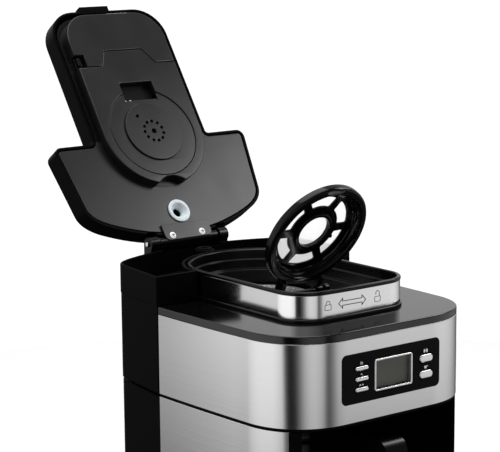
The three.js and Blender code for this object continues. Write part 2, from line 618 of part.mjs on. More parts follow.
// ---------------------------------------------------------------- basket cover, drawn shut about its pivot
function basketCover() {
  const webBottom = WEB_FACE - WEB_THICKNESS;
  const rimmed = turned([
    [14.4, webBottom], [WEB_RADIUS, webBottom], [WEB_RADIUS + 0.4, COVER_RIM_BOTTOM], [39.4, COVER_FACE - 1.6],
    [COVER_RADIUS - 1.6, COVER_FACE - 1.6], [COVER_RADIUS - 1.6, COVER_RIM_BOTTOM], [COVER_RADIUS, COVER_RIM_BOTTOM],
    [COVER_RADIUS, COVER_FACE],
    [37.8, COVER_FACE], [WEB_RADIUS - 1.6, WEB_FACE], [17, WEB_FACE], [17, WEB_FACE + 2.4], [14.4, WEB_FACE + 2.4],
  ], 30, 0, COVER_REACH);
  const windows = Array.from({ length: 6 }, (_, k) => coverWindow(k).translate(0, COVER_REACH, 0));
  const lugs = [-1, 1].map((side) => join(
    rod(3.2, 19 * side - 2.4, 19 * side + 2.4, 0, 0, 20),
    block([19 * side - 2.4, 19 * side + 2.4], [-2.6, 11.6], [-9, -0.6]),
  ));
  return cut(join(cut(rimmed, ...windows), ...lugs), rod(1.7, -40, 40, 0, 0, 12));
}

// A fine screen under the web closes the windows and the hub's hole.
const coverScreen = () =>
  disc(WEB_RADIUS - 1, WEB_FACE - WEB_THICKNESS - 0.45, WEB_FACE - WEB_THICKNESS - 0.05, 30, 0, COVER_REACH);

// One of six windows between the hub ring and the rim.
function coverWindow(index) {
  const inner = 24;
  const outer = 33.4;
  const middle = (index + 0.5) * Math.PI / 3;
  const arc = (radius, from, to) => Array.from({ length: 4 }, (_, k) => {
    const angle = middle + from + (to - from) * k / 3;
    return new THREE.Vector2(radius * Math.cos(angle), radius * Math.sin(angle));
  });
  return prism([...arc(outer, -0.42, 0.42), ...arc(inner, 0.36, -0.36)], -30, 30);
}

const coverPin = () => rod(1.5, -28.5, 28.5, ...COVER_PIVOT, 12);

// ---------------------------------------------------------------- carafe
const GLASS = 2;
const carafeGlass = () => turned([
  [0, 31.9], [53, 31.9], [64, 50], [66, 75], [62, 115], [47, 165], [42.5, 182], [44, 194],
  [44 - GLASS, 194], [42.5 - GLASS, 182], [47 - GLASS, 165], [62 - GLASS, 115], [66 - GLASS, 75],
  [64 - GLASS, 51], [52, 34], [0, 34],
], 26, 0, OUTLET_Y);

const carafeCollar = () => turned([
  [47.2, 168], [49, 168], [46.4, 184], [46.6, 193.6], [44.6, 193.6], [43.4, 182.6],
], 26, 0, OUTLET_Y);

const carafeLid = () => cut(
  turned([[0, 194.3], [46.6, 194.3], [47.6, 198], [44, 209], [20, 213], [0, 213]], 26, 0, OUTLET_Y),
  turned([[0, 206], [11, 206], [16, 240], [0, 240]], 18, 0, OUTLET_Y),
  disc(6, 100, 300, 12, 0, OUTLET_Y),
);

// Closed handle in front of the glass: a bar with two arms that reach back to the collar.
function carafeHandle() {
  const outside = [[-45, 176, 4], [-45, 207, 4], [-130, 216, 10], [-137, 192, 10], [-129, 80, 14], [-104, 68, 10],
    [-64, 84, 4], [-64, 95, 4], [-100, 88, 6], [-109, 96, 8], [-114, 178, 10]];
  const outline = rounded(outside.reverse(), 3);
  const side = prism(outline, -11, 11).rotateX(Math.PI / 2).rotateZ(Math.PI / 2);
  return cut(side, disc(49.6, 100, 193.9, 26, 0, OUTLET_Y), disc(48.2, 193, 230, 26, 0, OUTLET_Y),
    disc(66.8, 0, 150, 26, 0, OUTLET_Y));
}

// ---------------------------------------------------------------- materials and assembly
const finish = {
  steel: { color: 0xc6c6c8, metalness: 1, roughness: 0.32 },
  brightSteel: { color: 0xe4e4e6, metalness: 1, roughness: 0.15 },
  pianoBlack: { color: 0x060607, metalness: 0, roughness: 0.08 },
  satinBlack: { color: 0x0b0b0c, metalness: 0, roughness: 0.4 },
  mattBlack: { color: 0x111113, metalness: 0, roughness: 0.7 },
  lidGrey: { color: 0x2c2c30, metalness: 0, roughness: 0.45 },
  mesh: { color: 0xb9b9b9, metalness: 1, roughness: 0.45 },
  rubber: { color: 0x17171a, metalness: 0, roughness: 0.9 },
  silicone: { color: 0xdfe6ec, metalness: 0, roughness: 0.5 },
  glass: { color: 0xe8f0f0, metalness: 0, roughness: 0.05, transparent: true, opacity: 0.3 },
  display: { color: 0x6d7068, metalness: 0, roughness: 0.25 },
  aluminium: { color: 0xaeb0b3, metalness: 1, roughness: 0.5 },
  circuit: { color: 0x1f4a2c, metalness: 0, roughness: 0.6 },
};

function piece(parent, name, geometry, look) {
  const mesh = new THREE.Mesh(geometry, new THREE.MeshStandardMaterial(finish[look]));
  mesh.name = name;
  parent.add(mesh);
}

const group = new THREE.Group();

function addBase() {
  piece(group, 'base_pan', basePan(), 'satinBlack');
  piece(group, 'bottom_cover', bottomCover(), 'mattBlack');
  piece(group, 'foot_front_left', foot(-62, -92), 'rubber');
  piece(group, 'foot_front_right', foot(62, -92), 'rubber');
  piece(group, 'foot_rear_left', foot(-72, 100), 'rubber');
  piece(group, 'foot_rear_right', foot(72, 100), 'rubber');
  piece(group, 'warming_plate', warmingPlate(), 'mattBlack');
  piece(group, 'flow_heater', flowHeater(), 'aluminium');
}

function addHousings() {
  piece(group, 'lower_housing', lowerHousing(), 'satinBlack');
  piece(group, 'side_panel_left', sidePanel(-1, LEFT_PANEL_FRONT_Y), 'steel');
  piece(group, 'side_panel_right', sidePanel(1, RIGHT_PANEL_FRONT_Y), 'steel');
  piece(group, 'cord_gland', cordGland(), 'rubber');
  piece(group, 'upper_housing', upperHousing(), 'satinBlack');
  piece(group, 'steel_wrap', steelWrap(), 'steel');
  piece(group, 'top_deck', topDeck(), 'pianoBlack');
  piece(group, 'rear_cover', rearCover(), 'satinBlack');
}

function addControls() {
  piece(group, 'control_fascia', controlFascia(), 'pianoBlack');
  piece(group, 'display_frame', displayFrame(), 'brightSteel');
  piece(group, 'display_window', displayWindow(), 'display');
  piece(group, 'control_board', controlBoard(), 'circuit');
  const names = ['button_clock', 'button_hour', 'button_minute', 'button_beans', 'button_brew'];
  allButtons().forEach((shape, i) => piece(group, names[i], button(shape), 'brightSteel'));
}

function addBrewBox() {
  piece(group, 'brew_box', brewBox(), 'satinBlack');
  piece(group, 'box_band', boxBand(), 'steel');
  piece(group, 'cover_pin', coverPin(), 'brightSteel');
  piece(group, 'filter_basket', filterBasket(), 'mattBlack');
  piece(group, 'mesh_filter', meshFilter(), 'mesh');
  piece(group, 'drip_valve', dripValve(), 'mattBlack');
  piece(group, 'valve_spring', valveSpring(), 'brightSteel');
  piece(group, 'grinder_cup', grinderCup(), 'steel');
  piece(group, 'grinder_blade', grinderBlade(), 'brightSteel');
  piece(group, 'grinder_shaft', grinderShaft(), 'brightSteel');
  piece(group, 'grinder_motor', grinderMotor(), 'aluminium');
}

function addWaterPath() {
  piece(group, 'water_tank', waterTank(), 'satinBlack');
  piece(group, 'outlet_strainer', outletStrainer(), 'silicone');
  piece(group, 'supply_tube', supplyTube(), 'silicone');
  piece(group, 'riser_tube', riserTube(), 'mattBlack');
}

function addLid() {
  piece(group, 'hinge_bracket_left', hingeBracket(-1), 'satinBlack');
  piece(group, 'hinge_bracket_right', hingeBracket(1), 'satinBlack');
  piece(group, 'hinge_pin', hingePin(), 'brightSteel');
  const [pivotY, pivotZ] = LID_PIVOT;
  const lid = new THREE.Group();
  lid.position.set(0, pivotY, pivotZ);
  lid.rotation.x = -LID_OPEN;
  group.add(lid);
  const swung = (name, geometry, look) => piece(lid, name, geometry.translate(0, -pivotY, -pivotZ), look);
  swung('lid_shell', lidShell(), 'satinBlack');
  swung('lid_inner_plate', lidInnerPlate(), 'lidGrey');
  swung('lid_platform', lidPlatform(), 'lidGrey');
  swung('lid_front_cover', lidFrontCover(), 'lidGrey');
  swung('shower_head', showerHead(), 'lidGrey');
  swung('inlet_grommet', inletGrommet(), 'silicone');
  swung('water_duct', waterDuct(), 'silicone');
  swung('lid_screw_left', lidScrew(-15.8), 'brightSteel');
  swung('lid_screw_right', lidScrew(15.8), 'brightSteel');
  swung('lid_latch', lidLatch(), 'satinBlack');
}

function addBasketCover() {
  const cover = new THREE.Group();
  cover.position.set(0, ...COVER_PIVOT);
  cover.rotation.x = COVER_OPEN;
  group.add(cover);
  piece(cover, 'basket_cover', basketCover(), 'pianoBlack');
  piece(cover, 'cover_screen', coverScreen(), 'mesh');
}

function addCarafe() {
  piece(group, 'carafe_glass', carafeGlass(), 'glass');
  piece(group, 'carafe_collar', carafeCollar(), 'brightSteel');
  piece(group, 'carafe_lid', carafeLid(), 'satinBlack');
  piece(group, 'carafe_handle', carafeHandle(), 'satinBlack');
}

addBase();
addHousings();
addControls();
addBrewBox();
addWaterPath();
addLid();
addBasketCover();
addCarafe();

export default group;
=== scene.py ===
# Looks for the drip coffee maker: finer meshes, materials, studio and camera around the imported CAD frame.
import json
from cmath import phase, rect
from math import acos, asin, ceil, copysign, cos, degrees, hypot, pi, radians, sin, sqrt, tan

import bmesh
import bpy
from mathutils import Matrix, Vector
from mathutils.geometry import tessellate_polygon


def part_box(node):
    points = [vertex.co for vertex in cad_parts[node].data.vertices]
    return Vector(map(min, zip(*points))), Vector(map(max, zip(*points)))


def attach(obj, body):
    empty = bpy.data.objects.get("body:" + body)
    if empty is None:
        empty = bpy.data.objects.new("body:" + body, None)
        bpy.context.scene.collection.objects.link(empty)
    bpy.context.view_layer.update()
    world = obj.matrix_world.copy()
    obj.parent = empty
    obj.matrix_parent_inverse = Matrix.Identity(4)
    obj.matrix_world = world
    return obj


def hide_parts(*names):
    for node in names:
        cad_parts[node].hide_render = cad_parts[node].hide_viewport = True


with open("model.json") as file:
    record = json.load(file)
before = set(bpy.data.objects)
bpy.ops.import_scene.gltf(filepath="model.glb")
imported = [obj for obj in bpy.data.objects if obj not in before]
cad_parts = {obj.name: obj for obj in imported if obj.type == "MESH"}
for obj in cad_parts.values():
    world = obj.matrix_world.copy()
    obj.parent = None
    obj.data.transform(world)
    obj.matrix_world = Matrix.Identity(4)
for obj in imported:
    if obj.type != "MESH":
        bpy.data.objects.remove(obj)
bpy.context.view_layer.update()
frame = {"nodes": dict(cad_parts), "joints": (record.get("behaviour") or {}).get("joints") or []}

MM = 0.001


# ---- the CAD frame, in millimetres
def box_mm(node):
    """Lowest and highest corner of a CAD node, in millimetres."""
    return [[c / MM for c in corner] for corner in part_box(node)]


JOINTS = {joint["name"]: joint for joint in frame["joints"]}


def pivot_mm(joint):
    return [c / MM for c in JOINTS[joint]["pos_m"]]


def middle_y(node):
    low, high = box_mm(node)
    return (low[1] + high[1]) / 2


WRAP_LOW, WRAP_HIGH = box_mm("steel_wrap")
DECK_LOW, DECK_HIGH = box_mm("top_deck")
TANK_LOW, TANK_HIGH = box_mm("water_tank")
BOX_LOW, _ = box_mm("brew_box")
BAND_LOW, BAND_HIGH = box_mm("box_band")
BASKET_LOW, BASKET_HIGH = box_mm("filter_basket")
CUP_LOW, CUP_HIGH = box_mm("grinder_cup")
FASCIA_LOW, _ = box_mm("control_fascia")
LID_PIVOT = pivot_mm("lid_hinge")
LID_OPEN = radians(JOINTS["lid_hinge"]["range_deg"][1])
COVER_PIVOT = pivot_mm("basket_cover_hinge")
COVER_OPEN = radians(-JOINTS["basket_cover_hinge"]["range_deg"][0])

HALF_WIDTH = WRAP_HIGH[0]
FRONT_Y = WRAP_LOW[1]
STEEL_BACK_Y = WRAP_HIGH[1]
REAR_FRONT_Y = TANK_LOW[1]
BACK_Y = TANK_HIGH[1]
DECK_TOP = DECK_HIGH[2]
RIM_TOP = TANK_HIGH[2]
BASKET_Y = middle_y("filter_basket")
GRINDER_Y = middle_y("grinder_cup")
RISER_Y = middle_y("riser_tube")
CARAFE_Y = middle_y("carafe_glass")

# Shape numbers that a box can't give, in millimetres.
SIDE_TAPER = 2.8
FRONT_CORNER = 56
CORNER_POWER = 2.2
REAR_SHOULDER = (95.2, 102)
REAR_CORNER = (93.6, 114.1)
REAR_HIP = (76, 122)
BOX_HALF = 59.8
BOX_CORNER = 27
BOX_BOW = 0.8
BOX_FLAT = BOX_HALF - BOX_CORNER
BOX_FACE_Y = BOX_LOW[1] + 1
TANK_BORE = 62.3
WELL_RADIUS = 44.8
CUP_HOLE = 30.4
FLOOR_Z = 298.5
STEEL = 1.0
SIDES = ((-1, "left"), (1, "right"))
DECK_LIP = 5.2
POST_X = 26.5
# The lid's numbers are taken with it shut: TIP and ALONG from the hinge toward the tip, TOP and FACE upward
# from the hinge's pivot. So are the basket cover's, with REACH from its own pivot toward the back.
LID_NECK = 61.2
LID_TIP = 232.4
PLATE_TIP = 229.0
LID_EAR_Y = REAR_FRONT_Y + 0.4
LID_TOP = 14
PLATE_FACE = -3.6
RIM_FACE = -4.2
TONGUE_FACE = -5.6
TONGUE_HALF = 25
SCREW_X = 15.8
LATCH_SLOT = (-19.9, 30.9)
BRACKET_GAP = (31.8, 42.6)
BARREL_RADIUS = 4.6
WINDOW_X = (-16.6, 18)
PLATFORM_FACE = -11.5
PLATFORM_HALF = 52
PLATFORM_TIP = 224.8
SHOWER_ALONG = 102
SHOWER_HOLES = 11
HOLE_RING = 9.8
COVER_REACH = 54
COVER_FACE = -2.6
WEB_FACE = -11.8


# ---- outlines, counter-clockwise seen from above
def fillet(corners, steps=5):
    """Corners are (x, y) or (x, y, radius). A corner with a radius becomes an arc."""
    points = []
    for i, (x, y, *rounding) in enumerate(corners):
        if not any(rounding):
            points.append((x, y))
            continue
        radius, here = rounding[0], complex(x, y)
        before, after = (complex(*corners[j % len(corners)][:2]) - here for j in (i - 1, i + 1))
        before, after = before / abs(before), after / abs(after)
        opening = phase(after / before)
        centre = here + (before + after) / abs(before + after) * radius / sin(abs(opening) / 2)
        start = here + before * radius / tan(abs(opening) / 2) - centre
        turn = -copysign(pi - abs(opening), opening)
        for k in range(steps + 1):
            point = centre + start * rect(1, turn * k / steps)
            points.append((point.real, point.imag))
    return points


def arc(x, y, radius, start, end, steps):
    """Points on an arc, both ends included. Angles are in degrees."""
    angles = [radians(start + (end - start) * k / steps) for k in range(steps + 1)]
    return [(x + radius * cos(a), y + radius * sin(a)) for a in angles]


def circle(radius, x=0, y=0, steps=48):
    return arc(x, y, radius, 0, 360 - 360 / steps, steps - 1)


def bezier(a, b, c, steps):
    """A quadratic curve, without its first point."""
    ts = [k / steps for k in range(1, steps + 1)]
    return [tuple((1 - t) ** 2 * a[i] + 2 * t * (1 - t) * b[i] + t * t * c[i] for i in (0, 1)) for t in ts]


# A side shorter than TINY has no direction. The floor under a mitre's square keeps very sharp corners short.
TINY = 1e-9
MITRE_FLOOR = 0.3


def rectangle(x0, y0, x1, y1, radius, steps):
    return fillet([(x0, y0, radius), (x1, y0, radius), (x1, y1, radius), (x0, y1, radius)], steps)


def rounded_box(width, height, corner, steps=6):
    """A rectangle about the origin."""
    return rectangle(-width / 2, -height / 2, width / 2, height / 2, corner, steps)


def offset(outline, distance, closed=True):
    """Moves each side of a path to its right by distance: outward on a counter-clockwise outline."""
    points = [complex(*point) for point in outline]
    after = [end - start for start, end in zip(points, points[1:] + points[:1])]
    after = [side / max(abs(side), TINY) for side in after]
    before = after[-1:] + after[:-1]
    if not closed:
        before[0], after[-1] = after[0], before[-1]
    placed = []
    for point, into, out in zip(points, before, after):
        mitre = -1j * (into + out)
        point += mitre * 2 * distance / max(abs(mitre) ** 2, MITRE_FLOOR)
        placed.append((point.real, point.imag))
    return placed


def front_path():
    """The body's front outline, from the back of the left side round to the back of the right side."""
    front_half = HALF_WIDTH - SIDE_TAPER
    corner_x = front_half - FRONT_CORNER
    corner_y = FRONT_Y + FRONT_CORNER
    half = []
    for k in range(27):
        angle = pi / 2 * k / 26
        half.append((corner_x + FRONT_CORNER * sin(angle) ** (2 / CORNER_POWER),
            corner_y - FRONT_CORNER * abs(cos(angle)) ** (2 / CORNER_POWER)))
    for k in range(1, 9):
        part = k / 8
        half.append((HALF_WIDTH - SIDE_TAPER * (1 - part) ** 2, corner_y
            + part * (STEEL_BACK_Y - corner_y)))
    return [(-x, y) for x, y in reversed(half)] + half


def rear_path():
    """The black rear half, from its right front corner round the back to its left front corner."""
    hip_x, hip_y = REAR_HIP
    side = [(HALF_WIDTH, REAR_FRONT_Y), REAR_SHOULDER]
    corner = bezier(REAR_SHOULDER, REAR_CORNER, REAR_HIP, 12)
    back = bezier(REAR_HIP, (0, 2 * BACK_Y - hip_y), (-hip_x, hip_y), 28)
    mirrored = [(-x, y) for x, y in reversed(side + corner[:-1])]
    return side + corner + back + mirrored


def box_front():
    """The brew box's two front corners and the gently bowed face between them, left to right."""
    ends_y = BOX_FACE_Y + BOX_BOW
    bow = bezier((-BOX_FLAT, ends_y), (0, BOX_FACE_Y - BOX_BOW), (BOX_FLAT, ends_y), 16)
    left = arc(-BOX_FLAT, ends_y + BOX_CORNER, BOX_CORNER, 180, 270, 18)
    right = arc(BOX_FLAT, ends_y + BOX_CORNER, BOX_CORNER, 270, 360, 18)
    return left + bow[:-1] + right


def box_outline():
    return box_front() + arc(0, BASKET_Y, BOX_HALF, 0, 180, 48)


def crescent():
    """The tank seen from above: the rear outline less the round bore that the box stands in."""
    reach = degrees(asin((REAR_FRONT_Y - BASKET_Y) / TANK_BORE))
    return rear_path() + arc(0, BASKET_Y, TANK_BORE, 180 - reach, reach, 48)


def lid_outline(reach=LID_TIP):
    tip = LID_PIVOT[1] - reach
    ear_x = HALF_WIDTH + 0.4
    rear = offset(rear_path(), 0.4, closed=False)[1:-1]
    front = [(-ear_x, LID_EAR_Y, 7), (-LID_NECK, LID_EAR_Y, 3), (-LID_NECK, tip, 28), (LID_NECK, tip, 28),
        (LID_NECK, LID_EAR_Y, 3), (ear_x, LID_EAR_Y, 7)]
    return fillet(front + rear, 10)


# ---- shapes: each is a list of (points, faces) shells
def loft(rings, round_ring=True, loop=False, caps=(False, False)):
    """Faces between rings of the same number of points."""
    count = len(rings[0])
    points = [tuple(p) for ring in rings for p in ring]
    faces = []
    spans = len(rings) if loop else len(rings) - 1
    steps = count if round_ring else count - 1
    for r in range(spans):
        a, b = r * count, ((r + 1) % len(rings)) * count
        for k in range(steps):
            n = (k + 1) % count
            faces.append((a + k, a + n, b + n, b + k))
    if caps[0]:
        faces.append(tuple(reversed(range(count))))
    if caps[1]:
        faces.append(tuple(range(len(points) - count, len(points))))
    return [(points, faces)]


def walled(outline, section, loop=True, caps=(False, False), closed=True):
    """A section of (offset, z) corners carried round an outline."""
    rings = [[(x, y, z) for x, y in offset(outline, away, closed)] for away, z in section]
    if closed:
        return loft(rings, True, loop, caps)
    shell = loft(rings, False, True)[0]
    count, total = len(rings[0]), len(rings[0]) * len(rings)
    ends = [tuple(range(0, total, count)), tuple(reversed(range(count - 1, total, count)))]
    return [(shell[0], shell[1] + ends)]


def flat_fill(loops, z, up):
    """A flat face between an outline and its holes."""
    triangles = tessellate_polygon([[Vector((x, y, 0)) for x, y in loop] for loop in loops])
    points = [(x, y, z) for loop in loops for x, y in loop]
    faces = []
    for t in triangles:
        a, b, c = (points[i] for i in t)
        turn = (b[0] - a[0]) * (c[1] - a[1]) - (b[1] - a[1]) * (c[0] - a[0])
        faces.append(tuple(t) if (turn > 0) == up else tuple(reversed(t)))
    return [(points, faces)]


def edge_profile(bottom, top, low_round, high_round, steps=3):
    """Offsets and heights of a plate's edge, rounded at its two corners."""
    def corner(radius):
        angles = [pi / 2 * k / steps for k in range(steps + 1 if radius else 1)]
        return [(radius * (sin(a) - 1), radius * (1 - cos(a))) for a in angles]

    return ([(away, bottom + rise) for away, rise in corner(low_round)]
        + [(away, top - rise) for away, rise in reversed(corner(high_round))])


def plate(outline, bottom, top, holes=(), low_round=0.0, high_round=0.0, steps=3):
    """A flat plate with holes and rounded edges."""
    profile = edge_profile(bottom, top, low_round, high_round, steps)
    shells = walled(outline, profile, loop=False)
    for hole in holes:
        shells += walled(hole, [(-away, z) for away, z in profile], loop=False)
    for (away, z), up in ((profile[0], False), (profile[-1], True)):
        loops = [offset(outline, away)] + [offset(hole, -away) for hole in holes]
        shells += flat_fill(loops, z, up)
    return shells


def turned(profile, segments=64, x=0, y=0):
    """A closed profile of (radius, z) turned about a vertical line."""
    rings = []
    for radius, z in profile:
        angles = [2 * pi * k / segments for k in range(segments)]
        rings.append([(x + radius * cos(a), y + radius * sin(a), z) for a in angles])
    return loft(rings, True, True)


def box_solid(xs, ys, zs, rounding=0.4):
    """A block with rounded upright corners and rounded top and bottom edges."""
    outline = rectangle(xs[0], ys[0], xs[1], ys[1], rounding, 3)
    return plate(outline, *zs, low_round=rounding * 0.8, high_round=rounding * 0.8)


def rod(radius, length, rounding=0.3, segments=28):
    """A round bar along X about the origin."""
    upright = plate(circle(radius, steps=segments), -length / 2, length / 2, low_round=rounding,
        high_round=rounding, steps=2)
    return moved(upright, Matrix.Rotation(pi / 2, 4, "Y"))


def moved(shells, matrix):
    return [([tuple(matrix @ Vector(p)) for p in points], faces) for points, faces in shells]


def shift(x=0, y=0, z=0):
    return Matrix.Translation((x, y, z))


def facing(shells, x, y, z):
    """A plate drawn flat, stood up to face the front: its Y becomes height and its top faces -Y."""
    return moved(shells, shift(x, y, z) @ Matrix.Rotation(pi / 2, 4, "X"))


# Drawn shut, then swung open about the hinge.
LID_SWING = shift(*LID_PIVOT) @ Matrix.Rotation(-LID_OPEN, 4, "X")
COVER_SWING = shift(*COVER_PIVOT) @ Matrix.Rotation(COVER_OPEN, 4, "X")


# ---- turning shapes into pieces
# Edges that turn by more than this many degrees stay sharp: on new pieces, and on carried-over CAD nodes.
CREASE = 32
NODE_CREASE = 40
# In metres: points of a new mesh closer than this are one point, and the same for a carried-over node.
SAME_POINT = 2e-6
WELD_DISTANCE = 1e-5
# How strongly large faces set the shading: 50 is even, 100 is wholly by area.
FLAT_WEIGHT = 60


def make(name, shells, material, replaces=(), body="machine", matrix=None,
        sharp=CREASE):
    """Builds one object from shells in millimetres and hangs it on a CAD body."""
    piece = solid_from(moved(shells, matrix) if matrix else shells, name, material)
    smooth(piece, sharp)
    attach(piece, body)
    if replaces:
        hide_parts(*replaces)
    return piece


def add_object(name, data):
    added = bpy.data.objects.new(name, data)
    bpy.context.scene.collection.objects.link(added)
    return added


def smooth(piece, sharp):
    """Smooth shading with a crease wherever faces meet at more than this many degrees."""
    piece.data.polygons.foreach_set("use_smooth", [True] * len(piece.data.polygons))
    piece.data.set_sharp_from_angle(angle=radians(sharp))
    even_normals(piece)


def even_normals(piece):
    """Keeps large flat faces flat where they run into rounded edges."""
    weighted = piece.modifiers.new("normals", "WEIGHTED_NORMAL")
    weighted.mode = "FACE_AREA_WITH_ANGLE"
    weighted.weight = FLAT_WEIGHT
    weighted.keep_sharp = True


def carve(piece, shells, matrix=None, lining=None):
    """Cuts closed shells, in millimetres, out of a piece. The cut faces may get a lining material."""
    piece.modifiers.clear()
    cutter = solid_from(moved(shells, matrix) if matrix else shells, "cutter", lining)
    boolean = piece.modifiers.new("cut", "BOOLEAN")
    boolean.operation = "DIFFERENCE"
    boolean.solver = "EXACT"
    boolean.material_mode = "TRANSFER"
    boolean.object = cutter
    bpy.context.view_layer.update()
    done = bpy.data.meshes.new_from_object(piece.evaluated_get(bpy.context.evaluated_depsgraph_get()))
    piece.modifiers.clear()
    piece.data = done
    bpy.data.objects.remove(cutter)
    smooth(piece, CREASE)


def solid_from(shells, name, material=None):
    """A plain object made of shells in millimetres."""
    mesh = bpy.data.meshes.new(name)
    points, faces = [], []
    for shell_points, shell_faces in shells:
        base = len(points)
        points += [tuple(c * MM for c in p) for p in shell_points]
        faces += [tuple(base + i for i in face) for face in shell_faces]
    mesh.from_pydata(points, [], faces)
    work = bmesh.new()
    work.from_mesh(mesh)
    bmesh.ops.remove_doubles(work, verts=work.verts, dist=SAME_POINT)
    bmesh.ops.dissolve_degenerate(work, dist=SAME_POINT / 2, edges=work.edges)
    bmesh.ops.recalc_face_normals(work, faces=work.faces)
    work.to_mesh(mesh)
    work.free()
    if material:
        mesh.materials.append(material)
    return add_object(name, mesh)


def soften(node, material, width):
    """A carried-over CAD node: its material, edges rounded to this width and smooth shading."""
    piece = frame["nodes"][node]
    piece.data.materials.clear()
    piece.data.materials.append(material)
    if "custom_normal" in piece.data.attributes:
        piece.data.attributes.remove(piece.data.attributes["custom_normal"])
    piece.data.polygons.foreach_set("use_smooth", [True] * len(piece.data.polygons))
    weld = piece.modifiers.new("weld", "WELD")
    weld.merge_threshold = WELD_DISTANCE
    if width:
        bevel = piece.modifiers.new("edges", "BEVEL")
        bevel.width = width * MM
        bevel.segments = 2
        bevel.limit_method = "ANGLE"
        bevel.angle_limit = radians(NODE_CREASE)
    crease = piece.modifiers.new("crease", "EDGE_SPLIT")
    crease.split_angle = radians(NODE_CREASE)
    even_normals(piece)


# ---- node trees
def map_range(tree, value, start, end, low=0.0, high=1.0, eased=False):
    """Maps a value's range from start to end onto low to high."""
    node = tree.nodes.new("ShaderNodeMapRange")
    for socket, number in (("From Min", start), ("From Max", end), ("To Min", low), ("To Max", high)):
        node.inputs[socket].default_value = number
    if eased:
        node.interpolation_type = "SMOOTHSTEP"
    tree.links.new(value, node.inputs["Value"])
    return node.outputs["Result"]


def mix_color(tree, factor, first, second, blend="MIX"):
    """Mixes two colours. The factor and the colours are output sockets or fixed values."""
    node = tree.nodes.new("ShaderNodeMix")
    node.data_type = "RGBA"
    node.blend_type = blend
    for socket, value in (("Factor", factor), ("A", first), ("B", second)):
        if isinstance(value, bpy.types.NodeSocket):
            tree.links.new(value, node.inputs[socket])
        else:
            node.inputs[socket].default_value = value
    return node.outputs["Result"]


# ---- materials
# The part of a noise texture's range that is used.
NOISE_RANGE = (0.3, 0.7)


class Finish:
    """A Principled material with its noise driven from the piece's own coordinates, in metres."""

    def __init__(self, name, color, roughness, **sockets):
        self.material = bpy.data.materials.new(name)
        self.material.use_nodes = True
        self.tree = self.material.node_tree
        self.inputs = self.tree.nodes["Principled BSDF"].inputs
        self.color = color
        self.roughness = roughness
        for socket, value in {"Base_Color": (*color, 1), "Roughness": roughness, **sockets}.items():
            self.inputs[socket.replace("_", " ")].default_value = value
        self.place = self.tree.nodes.new("ShaderNodeTexCoord").outputs["Object"]

    def noise(self, scale, detail, stretch=(1, 1, 1), rough=0.5):
        mapping = self.tree.nodes.new("ShaderNodeMapping")
        mapping.inputs["Scale"].default_value = stretch
        noise = self.tree.nodes.new("ShaderNodeTexNoise")
        for socket, number in (("Scale", scale), ("Detail", detail), ("Roughness", rough)):
            noise.inputs[socket].default_value = number
        self.tree.links.new(self.place, mapping.inputs["Vector"])
        self.tree.links.new(mapping.outputs["Vector"], noise.inputs["Vector"])
        return noise.outputs["Fac"]

    def tint(self, factor, low, high, used=NOISE_RANGE):
        """Takes the colour from its low to its high share as the factor grows."""
        first, second = ((*(min(1, c * share) for c in self.color), 1) for share in (low, high))
        mixed = mix_color(self.tree, map_range(self.tree, factor, *used), first, second)
        self.tree.links.new(mixed, self.inputs["Base Color"])

    def vary(self, factor, low, high):
        """Takes the roughness from its low to its high share as the factor grows."""
        varied = map_range(self.tree, factor, *NOISE_RANGE, self.roughness * low, self.roughness * high)
        self.tree.links.new(varied, self.inputs["Roughness"])

    def bump(self, height, strength, distance):
        node = self.tree.nodes.new("ShaderNodeBump")
        node.inputs["Strength"].default_value = strength
        node.inputs["Distance"].default_value = distance
        self.tree.links.new(height, node.inputs["Height"])
        self.tree.links.new(node.outputs["Normal"], self.inputs["Normal"])


def surface(name, color, roughness, noise, tint=None, vary=None, bump=None, used=NOISE_RANGE, glow=0,
        **sockets):
    """A finish driven by one noise, given as (scale, detail, stretch, roughness). Tint and vary are shares
    of the colour and the roughness, bump is (strength, distance) and glow is white light given off."""
    if glow:
        sockets.update(Emission_Color=(1, 1, 1, 1), Emission_Strength=glow)
    finish = Finish(name, color, roughness, **sockets)
    factor = finish.noise(*noise)
    if tint:
        finish.tint(factor, *tint, used)
    if vary:
        finish.vary(factor, *vary)
    if bump:
        finish.bump(factor, *bump)
    return finish.material


def brushed(name, color, roughness, contrast):
    """Sheet steel with fine level lines."""
    return surface(name, color, roughness, (1, 3, (5, 5, 2600), 0.6), (1 - contrast, 1 + contrast),
        (0.85, 1.2), (0.05, 0.00006), Metallic=1.0)


def plastic(name, color, roughness, grain, strength, specular, contrast=0.15):
    """Moulded plastic with broad clouds and a fine grain."""
    finish = Finish(name, color, roughness, Specular_IOR_Level=specular)
    broad = finish.noise(28, 2)
    finish.tint(broad, 1 - contrast, 1 + contrast)
    finish.vary(broad, 0.92, 1.08)
    finish.bump(finish.noise(grain, 3), strength, 0.0001)
    return finish.material


def polished(name, color, roughness, specular):
    """Polished black plastic with the faint waviness of a moulding."""
    return surface(name, color, roughness, (18, 1), None, (0.8, 1.3), (0.02, 0.0002),
        Specular_IOR_Level=specular)


def chrome(name, color, roughness):
    return surface(name, color, roughness, (60, 2), (0.97, 1.03), (0.8, 1.3), Metallic=1.0)


def sheer_screen(name, color, openness, glow):
    """Very fine pale screen: part of the light passes through its openings. It also gives off white light at
    glow: a painted sheen that lightens the windows.
    """
    material = surface(name, color, 0.6, (1400, 1), (0.8, 1.12), used=(0.35, 0.65), glow=glow)
    tree = material.node_tree
    output = next(node for node in tree.nodes if node.type == "OUTPUT_MATERIAL")
    solid = output.inputs["Surface"].links[0].from_socket
    blend = tree.nodes.new("ShaderNodeMixShader")
    blend.inputs["Fac"].default_value = openness
    tree.links.new(solid, blend.inputs[1])
    tree.links.new(tree.nodes.new("ShaderNodeBsdfTransparent").outputs["BSDF"], blend.inputs[2])
    tree.links.new(blend.outputs["Shader"], output.inputs["Surface"])
    return material


